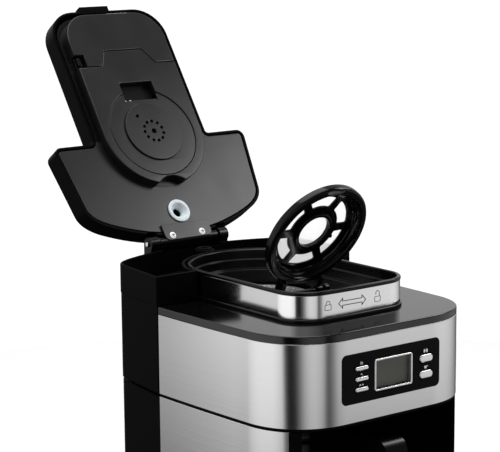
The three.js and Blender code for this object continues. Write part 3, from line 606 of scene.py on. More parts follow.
SIDE_STEEL = brushed("brushed_steel", (0.80, 0.80, 0.81), 0.15, 0.035)
BAND_STEEL = brushed("bright_steel", (0.90, 0.90, 0.905), 0.11, 0.02)
PIANO = polished("piano_black", (0.0025, 0.0025, 0.003), 0.08, 0.6)
COVER_BLACK = polished("gloss_black", (0.002, 0.002, 0.0025), 0.12, 0.22)
FASCIA_BLACK = polished("fascia_black", (0.0025, 0.0025, 0.0032), 0.12, 0.05)
SATIN = plastic("satin_black", (0.0022, 0.0022, 0.0026), 0.42, 900, 0.1, 0.035)
GLOSS_SATIN = plastic("semi_gloss_black", (0.002, 0.002, 0.0024), 0.25, 600, 0.03, 0.3)
MATT = plastic("matt_black", (0.003, 0.003, 0.0034), 0.6, 1200, 0.15, 0.15)
LID_GREY = plastic("lid_grey", (0.006, 0.0062, 0.0075), 0.33, 700, 0.04, 0.5, 0.06)
RUBBER = plastic("rubber", (0.02, 0.02, 0.021), 0.85, 800, 0.3, 0.2)
COATING = plastic("coated_metal", (0.014, 0.014, 0.015), 0.35, 1500, 0.35, 0.4)
CHROME = chrome("bright_trim", (0.90, 0.90, 0.91), 0.12)
TAB_GREY = chrome("tab_grey", (0.22, 0.22, 0.23), 0.35)
# Zinc that also gives off white light: a painted highlight on the screw heads and the shower studs.
ZINC_PAINTED_GLOW = surface("zinc_painted_glow", (0.85, 0.85, 0.86), 0.4, (300, 2), (0.92, 1), glow=0.35)
# The cover's screen gives off white light: a painted sheen on the windows.
SCREEN = sheer_screen("cover_mesh_painted_glow", (0.66, 0.66, 0.66), 0.5, 0.66)
MESH_STEEL = surface("mesh_steel", (0.62, 0.62, 0.62), 0.45, (900, 1), (0.35, 1.15), None, (0.6, 0.0003),
    (0.4, 0.6), Metallic=1.0)
CAST_METAL = surface("cast_metal", (0.62, 0.63, 0.64), 0.5, (700, 4), (0.85, 1.1), None, (0.25, 0.0003),
    Metallic=1.0)
SILICONE = surface("silicone", (0.80, 0.86, 0.90), 0.32, (120, 2), (0.93, 1.04), Subsurface_Weight=0.35,
    Subsurface_Scale=0.004)
LCD = surface("display_grey", (0.085, 0.088, 0.074), 0.22, (30, 1, (1, 1, 2)), (0.88, 1.12),
    Specular_IOR_Level=0.35)
CIRCUIT = surface("circuit_green", (0.02, 0.09, 0.035), 0.4, (260, 2), (0.6, 1.5), used=(0.45, 0.55))
GLASS = surface("clear_glass", (0.98, 0.99, 0.99), 0.01, (14, 1), bump=(0.02, 0.001),
    Transmission_Weight=1.0, IOR=1.47)
WHITE_INK = surface("white_print", (0.85, 0.85, 0.85), 0.5, (500, 1), (0.9, 1))
GREY_INK = surface("grey_print", (0.03, 0.03, 0.032), 0.5, (500, 1), (0.9, 1))


# ---- body
def sheet_section(low, high, rounding=0.3, top=0.3):
    """The section of an upright steel sheet inside its outline."""
    inside = -STEEL
    return fillet([(0, low, rounding), (0, high, top), (inside, high, rounding), (inside, low, rounding)], 2)


def build_wrap():
    """The steel wrap round the front, cut out for the control panel."""
    section = sheet_section(WRAP_LOW[2], WRAP_HIGH[2])
    sheet = walled(front_path(), section, closed=False)
    wrap = make("steel_wrap_sheet", sheet, SIDE_STEEL, ["steel_wrap"])
    x, z, width, height = node_face("control_fascia", 2)
    carve(wrap, facing(plate(rounded_box(width, height, 5, 5), -15, 15), x, FRONT_Y, z))


def build_side_panel(side):
    """Lower steel side, bent round the front corner."""
    name = "side_panel_left" if side < 0 else "side_panel_right"
    low, high = box_mm(name)
    path = front_path()
    kept = [p for p in path if p[0] * side > 0 and p[1] > low[1]]
    end = [crossing(path, low[1], side)]
    edge = end + kept if side > 0 else kept + end
    section = sheet_section(low[2], high[2], top=0.35)
    make(name + "_sheet", walled(edge, section, closed=False), SIDE_STEEL, [name])


def crossing(path, y, side):
    """Where a path passes a given y on the left (-1) or right (1)."""
    for a, b in zip(path, path[1:]):
        if (a[1] - y) * (b[1] - y) <= 0 and a[0] * side > 0 and a[1] != b[1]:
            t = (y - a[1]) / (b[1] - a[1])
            return (a[0] + t * (b[0] - a[0]), y)
    return path[-1]


def build_deck():
    """Polished deck with a soft upper edge. The brew box stands in a notch in its straight back edge."""
    outline = front_path()
    back = outline[0][1]
    ring = offset(box_outline(), -DECK_LIP)
    rearmost = ring.index(max(ring, key=lambda point: point[1]))
    notch = [point for point in ring[rearmost:] + ring[:rearmost] if point[1] < back]
    if notch[0][0] < notch[-1][0]:
        notch.reverse()
    outline = outline + [(notch[0][0], back)] + notch + [(notch[-1][0], back)]
    shells = plate(outline, DECK_LOW[2], DECK_TOP, (), 0.3, 1.0, 5)
    deck = make("deck_plate", shells, PIANO, ["top_deck"])
    deck.visible_glossy = False


def build_box():
    """The brew box: a steel band between a flange and a rounded rim, over a stepped black liner."""
    outline = box_outline()
    band_back = BAND_HIGH[1]
    path = [(-BOX_HALF, band_back), (-BOX_HALF, 0)] + box_front() + [(BOX_HALF, 0), (BOX_HALF, band_back)]
    high = BAND_HIGH[2]
    section = sheet_section(BAND_LOW[2], high, 0.25, 0.25)
    make("box_band_sheet", walled(path, section, closed=False), BAND_STEEL, ["box_band"])
    flange = DECK_TOP + 0.3
    liner = fillet([(1.2, flange), (1.2, flange + 2.2, 0.8), (-1.3, flange + 2.4), (-1.3, high + 0.2),
        (0.4, high + 0.2, 0.3), (0.6, RIM_TOP, 1.2), (-2.6, RIM_TOP, 1.1), (-3.2, RIM_TOP - 8, 0.4),
        (-4.6, RIM_TOP - 8.6, 0.5), (-4.8, RIM_TOP - 16, 0.4), (-8, RIM_TOP - 17, 0.6), (-8, FLOOR_Z),
        (-8, FLOOR_Z - 2.5), (-5.6, FLOOR_Z - 2.5), (-5.6, flange)], 4)
    make("brew_box_liner", walled(outline, liner), GLOSS_SATIN, ["brew_box"])
    floor = plate(offset(outline, -7.8), FLOOR_Z - 2.5, FLOOR_Z, [circle(WELL_RADIUS, 0, BASKET_Y, 72),
        circle(CUP_HOLE, 0, GRINDER_Y, 60)], 0, 0.5)
    make("brew_box_floor", floor, GLOSS_SATIN)
    outside, low, top = WELL_RADIUS + 2.2, BOX_LOW[2], FLOOR_Z - 0.6
    well = [(WELL_RADIUS, top), (WELL_RADIUS, low + 2), (outside, low + 2), (outside, top)]
    bottom = plate(circle(outside, 0, BASKET_Y, 72), low, low + 2.2, [circle(13, 0, CARAFE_Y)])
    make("brew_box_well", turned(well, 72, 0, BASKET_Y) + bottom, MATT)
    half, top = 3.4, COVER_PIVOT[2] + 3.4
    post_side = fillet([(-half, FLOOR_Z - 1), (half, FLOOR_Z - 1), (half, top, 3.2), (-half, top, 3.2)], 6)
    post = plate(post_side, -2, 2, low_round=0.3, high_round=0.3)
    for side, name in SIDES:
        turn = Matrix(((0, 0, 1, POST_X * side), (1, 0, 0, COVER_PIVOT[1]), (0, 1, 0, 0), (0, 0, 0, 1)))
        make("cover_post_" + name, moved(post, turn), GLOSS_SATIN)


def build_tank():
    """The crescent tank: an outer skin with a seam at deck height, a rounded rim and a deep hollow."""
    seam = DECK_TOP
    bottom = TANK_LOW[2]
    section = [(-3.6, bottom), (-3.6, seam - 0.4), (-0.2, seam - 0.2), (0, seam + 0.3), (0, RIM_TOP - 0.9),
        (-0.3, RIM_TOP - 0.3), (-0.9, RIM_TOP), (-2.0, RIM_TOP), (-2.5, RIM_TOP - 0.3),
        (-2.7, RIM_TOP - 0.9), (-2.8, seam + 3), (-3.4, seam + 2.2), (-6.2, seam + 1), (-6.2, bottom + 3),
        (-6.6, bottom + 2.5)]
    tank = make("tank_body", walled(crescent(), section, loop=False, caps=(True, True)), SATIN,
        ["water_tank"])
    half = box_mm("hinge_bracket_right")[0][0] - 1
    carve(tank, box_solid((-half, half), (BACK_Y - 12, BACK_Y + 6), (RIM_TOP - 2.8, RIM_TOP + 4)))
    chimney = [(6.4, bottom + 2), (8.6, bottom + 2), (8.6, RIM_TOP - 0.8), (8.2, RIM_TOP - 0.2),
        (7.6, RIM_TOP), (6.9, RIM_TOP - 0.1), (6.4, RIM_TOP - 0.6)]
    make("tank_chimney", turned(chimney, 40, 0, RISER_Y), SATIN)


def build_rear_cover():
    """Black skin under the tank, in one piece with rounded seams."""
    low, high = box_mm("rear_cover")
    path = offset(rear_path(), -0.4, closed=False)
    section = fillet([(0, low[2], 0.5), (0, high[2] - 0.4, 0.5), (-2.5, high[2] - 0.4), (-2.5, low[2])], 3)
    front_left, front_right = (path[-1][0] + 7, path[-1][1]), (path[0][0] - 7, path[0][1])
    make("rear_cover_skin", walled([front_right] + path + [front_left], section, closed=False), SATIN,
        ["rear_cover"])


# CAD nodes whose shape is right as it stands: material and width of the rounded edges, in millimetres.
CARRIED_OVER = {
    "base_pan": (SATIN, 1.0), "bottom_cover": (MATT, 0.5), "foot_front_left": (RUBBER, 0.4),
    "foot_front_right": (RUBBER, 0.4), "foot_rear_left": (RUBBER, 0.4), "foot_rear_right": (RUBBER, 0.4),
    "flow_heater": (CAST_METAL, 0.3), "lower_housing": (SATIN, 0.6), "cord_gland": (RUBBER, 0.3),
    # The cover pin is semi-gloss black in place of bright trim: painted shade in the box.
    "upper_housing": (SATIN, 0.4), "control_board": (CIRCUIT, 0.2), "cover_pin": (GLOSS_SATIN, 0.2),
    "drip_valve": (MATT, 0.3), "valve_spring": (CHROME, 0), "grinder_blade": (CHROME, 0.2),
    "grinder_shaft": (CHROME, 0.2), "grinder_motor": (CAST_METAL, 0.5), "outlet_strainer": (SILICONE, 0),
    "supply_tube": (SILICONE, 0), "riser_tube": (MATT, 0.2), "hinge_bracket_left": (GLOSS_SATIN, 0.7),
    "hinge_bracket_right": (GLOSS_SATIN, 0.7), "hinge_pin": (CHROME, 0.3), "lid_latch": (SATIN, 0.7),
    # The water duct is matt black in place of its pale silicone: painted shade in the grommet's centre.
    "carafe_handle": (GLOSS_SATIN, 2.0), "water_duct": (MATT, 0.3)}


# ---- lid, drawn shut about its pivot and swung open: y is minus the distance from the hinge
def on_lid(outline):
    """An outline drawn in the row frame with the lid shut, taken to the lid's own frame."""
    return [(x, y - LID_PIVOT[1]) for x, y in outline]


def lid_piece(name, shells, material, replaces=(), sharp=CREASE):
    return make(name, shells, material, replaces, "lid", LID_SWING, sharp)


def build_lid_shell():
    """Outer shell with a rounded top edge and a thin rim, cut for the hinge brackets and the latch."""
    outline = on_lid(lid_outline())
    top = [(-3 * (1 - cos(a)), LID_TOP - 3 * (1 - sin(a))) for a in [pi / 12 * k for k in range(7)]]
    section = [(-2.5, LID_TOP - 2.5), (-2.5, -3.8), (-2.2, RIM_FACE), (-0.5, RIM_FACE),
        (0, RIM_FACE + 0.5)] + top
    shell = lid_piece("lid_shell_cup", walled(outline, section, loop=False, caps=(True, True)), SATIN,
        ["lid_shell"])
    carve_bracket_gaps(shell)
    carve(shell, box_solid(LATCH_SLOT, (-LID_TIP - 3.4, -LID_TIP + 4.6), (-2.2, 2.4)), LID_SWING)
    web = box_solid((-31.2, 31.2), (-5, 2), (1, 9), 0.8)
    lid_piece("lid_barrel", web + rod(BARREL_RADIUS, 62.8, 0.8, 40), GLOSS_SATIN)


def carve_bracket_gaps(piece):
    near, far = BRACKET_GAP
    for xs in ((-far, -near), (near, far)):
        carve(piece, box_solid(xs, (-9, 20), (-20, 7.5), 1.2), LID_SWING)


def build_lid_plate():
    """The plate inside the rim, with a tongue that reaches in front of the barrel."""
    outline = offset(on_lid(lid_outline(PLATE_TIP)), -3.6)
    inlet = circle(9, 0, RISER_Y - LID_PIVOT[1], 40)
    centre = circle(34, 0, -SHOWER_ALONG, 64)
    shells = plate(outline, PLATE_FACE, PLATE_FACE + 2.2, [inlet, centre], 0.35, 0, 2)
    piece = lid_piece("lid_plate", shells, LID_GREY, ["lid_inner_plate"])
    carve_bracket_gaps(piece)
    carve(piece, box_solid((-33, 33), (-7.5, 12), (-20, 20), 0), LID_SWING)
    half, face = TONGUE_HALF, TONGUE_FACE
    outline = fillet([(half, -14), (half, 1, 5), (-half, 1, 5), (-half, -14)], 6)
    tongue = plate(outline, face, face + 0.9, low_round=0.3)
    riser = box_solid((-half, half), (-14, -8.2), (face + 0.5, PLATE_FACE + 1), 0.2)
    lid_piece("lid_tongue", tongue + riser, LID_GREY)
    # A black strip over the plate's margin between the rim and the platform: painted shade in that narrow
    # channel.
    outer, outer_tip, start = LID_NECK - 3.7, -PLATE_TIP + 3.7, -101
    inner, inner_tip = PLATFORM_HALF + 0.4, -PLATFORM_TIP + 1
    border = fillet([(-outer, outer_tip, 24.5), (outer, outer_tip, 24.5), (outer, start), (inner, start),
        (inner, inner_tip, 24), (-inner, inner_tip, 24), (-inner, start), (-outer, start)], 10)
    lid_piece("lid_border_painted_shade", plate(border, PLATE_FACE - 0.15, PLATE_FACE + 0.4), GLOSS_SATIN)


def shower_window(radius, reach):
    """A circle about the shower's centre, joined with a rounded rectangle toward the tip."""
    left, right = WINDOW_X
    start = -degrees(acos(right / radius))
    end = 180 + degrees(acos(-left / radius))
    far, near = -reach, 20 - reach
    return (arc(0, -SHOWER_ALONG, radius, start, end, 72)
        + fillet([(left, near), (left, far, 1.5), (right, far, 1.5), (right, near)], 4)[1:-1])


def build_platform():
    """The raised platform on the plate, with its stepped seam, round opening and scooped hinge end."""
    y, half = -SHOWER_ALONG, PLATFORM_HALF
    seam_y, step_y = -171, -186
    seam = [(-half, seam_y), (-27.5, seam_y, 3), (-20.5, step_y, 3), (20.5, step_y, 3), (30.5, seam_y, 3),
        (half, seam_y)]
    scoop_y, scoop_r = -36, 21.3
    gap = scoop_y - y
    across = sqrt(half ** 2 - ((half ** 2 - scoop_r ** 2 + gap ** 2) / (2 * gap)) ** 2)
    turn = degrees(asin(across / half))
    dip = degrees(asin(across / scoop_r))
    scoop = arc(0, scoop_y, scoop_r, -90 + dip, -90 - dip, 16)[1:-1]
    back = arc(0, y, half, 0, 90 - turn, 30) + scoop + arc(0, y, half, 90 + turn, 180, 30)
    top = PLATE_FACE - 0.3
    window = shower_window(43.4, 152.5)
    lid_piece("lid_platform_tub", plate(fillet(seam, 6) + back, PLATFORM_FACE, top, [window], 0.9, 0, 4),
        LID_GREY, ["lid_platform"])
    tip, notch_x, notch_y = -PLATFORM_TIP, -half + 9.5, -184
    front_seam = [(x, seam_at - 0.5, *r) for x, seam_at, *r in reversed(seam)]
    front = ([(-half, tip, 26), (half, tip, 26)] + front_seam[:-1]
        + [(notch_x, seam_y - 0.5), (notch_x, notch_y, 1), (-half, notch_y)])
    lid_piece("lid_front_tub", plate(fillet(front, 12), PLATFORM_FACE, top, (), 0.9, 0, 4), LID_GREY,
        ["lid_front_cover"])
    # A black sheet on the plate inside the scoop: painted shade.
    floor = scoop[::-1] + arc(0, y, half, 90 - turn, 90 + turn, 16)
    lid_piece("lid_scoop_painted_shade", plate(floor, PLATE_FACE - 0.2, PLATE_FACE + 0.4), GLOSS_SATIN)
    # A matt black sheet on the plate under the window: painted shade in the opening.
    left, right = WINDOW_X
    well = box_solid((left - 1.5, right + 1.5), (-154, -130), (PLATE_FACE - 0.25, PLATE_FACE + 0.4), 0)
    lid_piece("lid_window_painted_shade", well, MATT)
    clip = (box_solid((-half + 0.6, notch_x - 0.5), (-183, -172), (-7, top), 0.4)
        + box_solid((-half + 1.4, -half + 5), (-181.5, -174), (-10.4, -6.5), 0.5))
    lid_piece("lid_clip", clip, GLOSS_SATIN)


def build_shower():
    """Shower head: a stepped disc with a window, a raised centre and a ring of holes."""
    y = -SHOWER_ALONG
    face = PLATFORM_FACE + 0.6
    disc = plate(shower_window(43, 134.7), face, face + 2.4, [circle(28.4, 0, y, 64)], 0.6, 0, 3)
    lid_piece("shower_disc", disc, LID_GREY, ["shower_head"])
    half_step = 180 / SHOWER_HOLES
    ring = arc(0, y, HOLE_RING, half_step, 360 - half_step, SHOWER_HOLES - 1)
    holes = [circle(1.5, *place, 16) for place in ring]
    holes += [circle(2.4, 0, y, 24), circle(1.7, -11.6, -118, 16)]
    centre = plate(circle(28.5, 0, y, 72), PLATFORM_FACE - 1, PLATFORM_FACE + 1.6, holes, 0.45, 0, 3)
    lid_piece("shower_centre", centre, LID_GREY)
    back = turned([(0.5, -9.6), (31, -9.6), (31, -4.6), (33, -4.6), (33, -8.6), (28.6, -8.9), (28.6, -9.4),
        (0.5, -9.4)], 64, 0, y)
    lid_piece("shower_back", back, MATT)
    # Two small studs that give off white light: painted highlights inside the window.
    for name, x, along, radius in (("a", -15.4, 136.3, 1.9), ("b", -8.8, 135.6, 1.4)):
        stud = plate(circle(radius, x, -along, 20), -7.4, PLATE_FACE, low_round=0.5)
        lid_piece("shower_stud_" + name, stud, ZINC_PAINTED_GLOW)


def build_grommet():
    """Pale silicone funnel that meets the riser when the lid is shut."""
    y = RISER_Y - LID_PIVOT[1]
    profile = [(4.2, -0.6), (4.6, -1.6), (6.9, -4.3), (7.6, -4.9), (8.4, -5.2), (10.2, -5.2), (10.8, -4.8),
        (10.8, -3.9), (8.6, -3.9), (8.6, -1), (6.4, 1.8), (4.2, 1.8)]
    lid_piece("inlet_funnel", turned(profile, 56, 0, y), SILICONE, ["inlet_grommet"], sharp=50)


def build_apron():
    """The bar between the hinge brackets, behind the lid's barrel."""
    half, y = BRACKET_GAP[0] + 1, LID_PIVOT[1] + 2
    bar = box_solid((-half, half), (y, y + 1.2), (318, 330.8), 0.3)
    make("hinge_apron", bar, GLOSS_SATIN)


def build_screws():
    """Pan-head screws with cross recesses."""
    y, z = -3, TONGUE_FACE - 0.05
    for side, name in SIDES:
        x = SCREW_X * side - 1.2
        head = turned([(0.3, z - 1.05), (1.4, z - 0.98), (2.6, z - 0.6), (3.1, z - 0.1), (3.1, z),
            (0.3, z)], 28, x, y)
        cap = plate(circle(0.35, x, y, 28), z - 1.05, z)
        node = "lid_screw_" + name
        # The screw heads give off white light: a painted highlight.
        piece = lid_piece(node + "_head", head + cap, ZINC_PAINTED_GLOW, [node])
        for half_x, half_y in ((1.7, 0.4), (0.4, 1.7)):
            slot = box_solid((x - half_x, x + half_x), (y - half_y, y + half_y), (z - 2, z - 0.45), 0)
            # The cross recesses are lined with matt black: painted shade in the slots.
            carve(piece, slot, LID_SWING, MATT)


# ---- basket cover, drawn shut about its pivot
def cover_window(middle):
    """One of the web's windows, about a direction in degrees."""
    far = arc(0, COVER_REACH, 33.4, middle - 24, middle + 24, 12)
    near = arc(0, COVER_REACH, 24, middle + 20.6, middle - 20.6, 10)
    corners = []
    for side in (far, near):
        corners += [(*side[0], 1.2)] + side[1:-1] + [(*side[-1], 1.2)]
    return fillet(corners, 3)


def cover_piece(name, shells, material=COVER_BLACK, replaces=(), sharp=CREASE):
    return make(name, shells, material, replaces, "cover", COVER_SWING, sharp)


def build_cover():
    """Spoked cover: a stepped rim over a deep web with six windows, a hub collar and two hinge lugs."""
    y, web, face = COVER_REACH, WEB_FACE, COVER_FACE
    windows = [cover_window(60 * k + 30) for k in range(6)]
    cover_piece("cover_web", plate(circle(37.4, 0, y, 96), web - 1.6, web, windows
        + [circle(14.6, 0, y, 56)], 0.2, 0.5), replaces=["basket_cover"])
    rim = [(36.8, web - 1.6), (36.8, web + 3), (37.4, web + 3.6), (38.6, web + 3.7), (39.1, web + 4.3),
        (39.4, face - 2.6), (39.9, face - 2.1), (40.8, face - 1.9), (41.3, face - 1.3), (41.7, face - 0.3),
        (42.4, face), (45.4, face - 0.2), (46.8, face - 0.8), (47.5, face - 1.8), (47.7, face - 3),
        (47.5, -9.4), (47.1, -10), (46.1, -10), (45.7, -9.4), (45.2, face - 4), (41.8, face - 5),
        (38.4, web), (37.8, web - 1.6)]
    ring = cover_piece("cover_rim", turned(rim, 128, 0, y))
    recess = turned([(0.2, -2.2), (3.4, -1.9), (6.4, -0.9), (7.4, 1.5), (0.2, 1.5)], 40)
    oval = shift(0, y + 44.6, face) @ Matrix.Diagonal((1.3, 0.36, 1, 1))
    carve(ring, recess, COVER_SWING @ oval, TAB_GREY)
    lip = web + 2.4
    hub = [(14.4, web - 1.5), (17.2, web - 1.5), (18.4, web), (18.1, lip - 0.9), (17.4, lip - 0.2),
        (16.4, lip), (15.2, lip), (14.6, lip - 0.5), (14.4, web)]
    cover_piece("cover_hub", turned(hub, 72, 0, y), sharp=50)
    screen = plate(circle(35.6, 0, y, 96), web - 2.05, web - 1.65, [], 0.05, 0.5, 1)
    cover_piece("cover_screen_mesh", screen, SCREEN, ["cover_screen"])
    knob = [(0.2, web - 1), (1.7, web - 1), (1.9, web + 2), (1.4, web + 2.8), (0.2, web + 3)]
    cover_piece("cover_knob", turned(knob, 20, 19.5, y - 6.5))
    for side, name in SIDES:
        x = 19 * side
        lug = moved(rod(3.2, 4.8, 0.3), shift(x)) + box_solid((x - 2.4, x + 2.4), (-2.4, 11), (-9, -1), 0.5)
        cover_piece("cover_lug_" + name, lug)


# ---- basket, filter, grinder cup
def build_basket():
    """Round basket with a funnel that leans forward to the drip outlet."""
    low, rim = BASKET_LOW[2], BASKET_HIGH[2]
    outlet, shoulder = 246, 266
    rings = []
    for radius, z in ((42, rim), (42, shoulder), (9.4, outlet + 1.5), (7, outlet), (7, low), (10, low),
            (10, outlet), (12, outlet), (44, shoulder), (44, rim - 2), (47.2, rim - 2), (47.4, rim - 1.6),
            (47.4, rim - 0.4), (47, rim)):
        lean = min(1, max(0, (shoulder - z) / (shoulder - outlet)))
        y = BASKET_Y + (CARAFE_Y - BASKET_Y) * lean
        rings.append([(p[0], p[1], z) for p in circle(radius, 0, y, 72)])
    make("basket_bowl", loft(rings, loop=True), GLOSS_SATIN, ["filter_basket"], "basket")
    mesh = [(41.4, rim + 0.3), (45, rim + 0.3), (45.1, rim + 0.8), (44.8, rim + 1.3), (40.0, rim + 1.3),
        (39.4, rim + 0.6), (30, 270), (28.6, 269), (0.4, 268.6), (0.4, 267.4), (29, 267.8), (31, 268.8)]
    make("mesh_cone", turned(mesh, 72, 0, BASKET_Y), MESH_STEEL, ["mesh_filter"], "basket")


def build_cup():
    low, high = CUP_LOW[2], CUP_HIGH[2]
    profile = [(3.6, low), (22, low), (24, low + 0.6), (29.2, low + 7), (29.8, low + 8.5),
        (29.8, high - 1.4), (30.8, high - 1.3), (31.2, high - 0.9), (31.1, high - 0.3), (30.7, high),
        (29, high), (28.4, high - 0.4), (28.4, low + 9), (27.6, low + 7.2), (22.4, low + 2),
        (21.2, low + 1.6), (3.6, low + 1.6)]
    make("grinder_bowl", turned(profile, 64, 0, GRINDER_Y), CHROME, ["grinder_cup"])


# ---- warming plate and carafe
def build_plate():
    (_, _, low), (radius, _, high) = box_mm("warming_plate")
    profile = [(0.4, low), (radius - 3, low), (radius - 3, high - 3), (radius, high - 2.4),
        (radius, high - 0.9), (radius - 0.6, high), (radius - 4.6, high), (radius - 5.6, high - 0.7),
        (0.4, high - 0.7)]
    make("hot_plate_disc", turned(profile, 96, 0, CARAFE_Y), COATING, ["warming_plate"])


def smooth_curve(points, steps=6):
    """A curve through points (Catmull-Rom), ends included."""
    padded = [complex(*point) for point in points[:1] + points + points[-1:]]
    curve = []
    for p0, p1, p2, p3 in zip(padded, padded[1:], padded[2:], padded[3:]):
        for t in (k / steps for k in range(steps)):
            curve.append(p1 + (p2 - p0) * t / 2 + (2 * p0 - 5 * p1 + 4 * p2 - p3) * t ** 2 / 2
                + (3 * p1 - p0 - 3 * p2 + p3) * t ** 3 / 2)
    return [(point.real, point.imag) for point in curve + padded[-1:]]


def build_carafe():
    """Glass bowl, the band round its neck and its cap."""
    def carafe_piece(name, profile, material, node, sharp=CREASE):
        make(name, turned(profile, 96, 0, CARAFE_Y), material, [node], "carafe", sharp=sharp)

    glass, foot, foot_z = 2, 0.5, 31.9
    outer = [(44, foot_z), (51, 33), (58, 39), (64, 52), (66, 75), (62.2, 115), (53.4, 145), (47, 165),
        (42.6, 181), (43, 188), (44.4, 193.6)]
    outside = [(foot, foot_z)] + smooth_curve(outer)
    inside = [(max(foot, r - glass), max(z, foot_z + glass)) for r, z in outside]
    carafe_piece("carafe_bowl", outside + [(44.2, 194), (42.8, 194)] + inside[::-1], GLASS,
        "carafe_glass", 60)
    collar = [(47.4, 168), (48.9, 168), (49.2, 169), (46.6, 184), (46.8, 193), (46.4, 193.6), (44.8, 193.6),
        (44.6, 193), (43.6, 182.6)]
    carafe_piece("carafe_band", collar, GLOSS_SATIN, "carafe_collar")
    lid = [(6, 194.3), (46.2, 194.3), (46.8, 195), (47.6, 198), (47.2, 200.5), (44.6, 208), (43, 209.6),
        (40, 210.4), (20, 213), (15, 213), (14, 212.4), (11.4, 207), (10.4, 206), (6, 206)]
    carafe_piece("carafe_cap", lid, GLOSS_SATIN, "carafe_lid")


# ---- control panel
def node_face(node, inset=0.0):
    """Centre, width and height of a CAD node seen from the front, less an inset all round."""
    low, high = box_mm(node)
    return ((low[0] + high[0]) / 2, (low[2] + high[2]) / 2, high[0] - low[0] - 2 * inset,
        high[2] - low[2] - 2 * inset)


BUTTONS = ["clock", "hour", "minute", "beans", "brew"]
# A button's node includes a flange this much wider all round than its key.
KEY_INSET = 0.9
KEY_CORNER = 2.6


def panel_piece(name, shapes, node, material, body="machine"):
    """A piece drawn flat about the middle of a CAD node and stood up on that node's front face."""
    x, z, _, _ = node_face(node)
    make(name, facing(shapes, x, box_mm(node)[0][1], z), material, [node], body)


def depth_of(node):
    low, high = box_mm(node)
    return high[1] - low[1]


def build_panel():
    """Glossy fascia with openings for the display and five buttons, then the display and the buttons."""
    x0, z0, width, height = node_face("control_fascia")
    face = FASCIA_LOW[1]
    openings = [(*node_face("display_frame"), 2.2)]
    for button in BUTTONS:
        x, z, w, h = node_face("button_" + button, KEY_INSET)
        openings.append((x, z, w, h, min(h / 2, KEY_CORNER)))
    holes = [[(px + x - x0, py + z - z0) for px, py in rounded_box(w + 0.6, h + 0.6, corner)] for x, z, w,
        h, corner in openings]
    front = plate(rounded_box(width, height, 4.5), -(FRONT_Y + 1 - face), 0, holes, 0.2, 0.7, 4)
    panel_piece("fascia_face", front, "control_fascia", FASCIA_BLACK)
    back = plate(rounded_box(width - 4.4, height - 4.4, 3), -(FRONT_Y + 4 - face), -1, holes)
    make("fascia_back", facing(back, x0, face, z0), SATIN)
    _, _, w, h = node_face("display_frame")
    opening = rounded_box(w - 3.2, h - 3.2, 0.8)
    bezel = plate(rounded_box(w, h, 2), -depth_of("display_frame"), 0, [opening], 0.1, 0.5, 4)
    panel_piece("display_bezel", bezel, "display_frame", CHROME)
    _, _, w, h = node_face("display_window")
    window = plate(rounded_box(w, h, 0.6), -depth_of("display_window"), 0, (), 0.1, 0.2, 2)
    panel_piece("display_face", window, "display_window", LCD)
    for button in BUTTONS:
        node = "button_" + button
        _, _, w, h = node_face(node, KEY_INSET)
        depth = depth_of(node)
        key = plate(rounded_box(w, h, min(h / 2 - 0.05, KEY_CORNER)), 1 - depth, 0, (), 0.1, 0.8, 5)
        flange = plate(rounded_box(w + 2 * KEY_INSET, h + 2 * KEY_INSET, KEY_CORNER), -depth, 1.2 - depth)
        panel_piece(node + "_key", key + flange, node, CHROME, button + "_button")


# ---- printed icons: thin plates just above a surface
PRINT_HEIGHT = 0.12


def stroke(points, width):
    """Outline of an open line of even width through points."""
    return offset(points, width / 2, False) + offset(points, -width / 2, False)[::-1]


def dense(outline, step=1.5):
    """The same outline with more points, so that it can follow a bowed surface."""
    points = []
    for (x0, y0), (x1, y1) in zip(outline, outline[1:] + outline[:1]):
        parts = max(1, ceil(hypot(x1 - x0, y1 - y0) / step))
        points += [(x0 + (x1 - x0) * k / parts, y0 + (y1 - y0) * k / parts) for k in range(parts)]
    return points


def printed(name, shapes, x, z, surface_y, material):
    """Shapes are outlines, or (outline, hole) pairs, about (x, z) on a surface that faces the front."""
    shells = []
    for shape in shapes:
        outline, holes = (shape[0], [dense(shape[1])]) if isinstance(shape, tuple) else (shape, [])
        shells += plate(dense(outline), -0.04, PRINT_HEIGHT, holes)
    flat = facing(shells, x, 0, z)
    make(name, [([(px, py + surface_y(px), pz) for px, py, pz in points], faces) for points, faces in flat],
        material)


def fascia_surface(x):
    return FASCIA_LOW[1]


def band_surface(x):
    """The band's front face: a shallow bow."""
    t = min(1, max(0, (x / BOX_FLAT + 1) / 2))
    return BOX_FACE_Y + BOX_BOW * ((1 - t) ** 2 - 2 * t * (1 - t) + t * t)


def ellipse(rx, ry, x, tilt):
    c, s = cos(tilt), sin(tilt)
    return [(x + rx * a * c - ry * b * s, rx * a * s + ry * b * c) for a, b in circle(1, steps=24)]


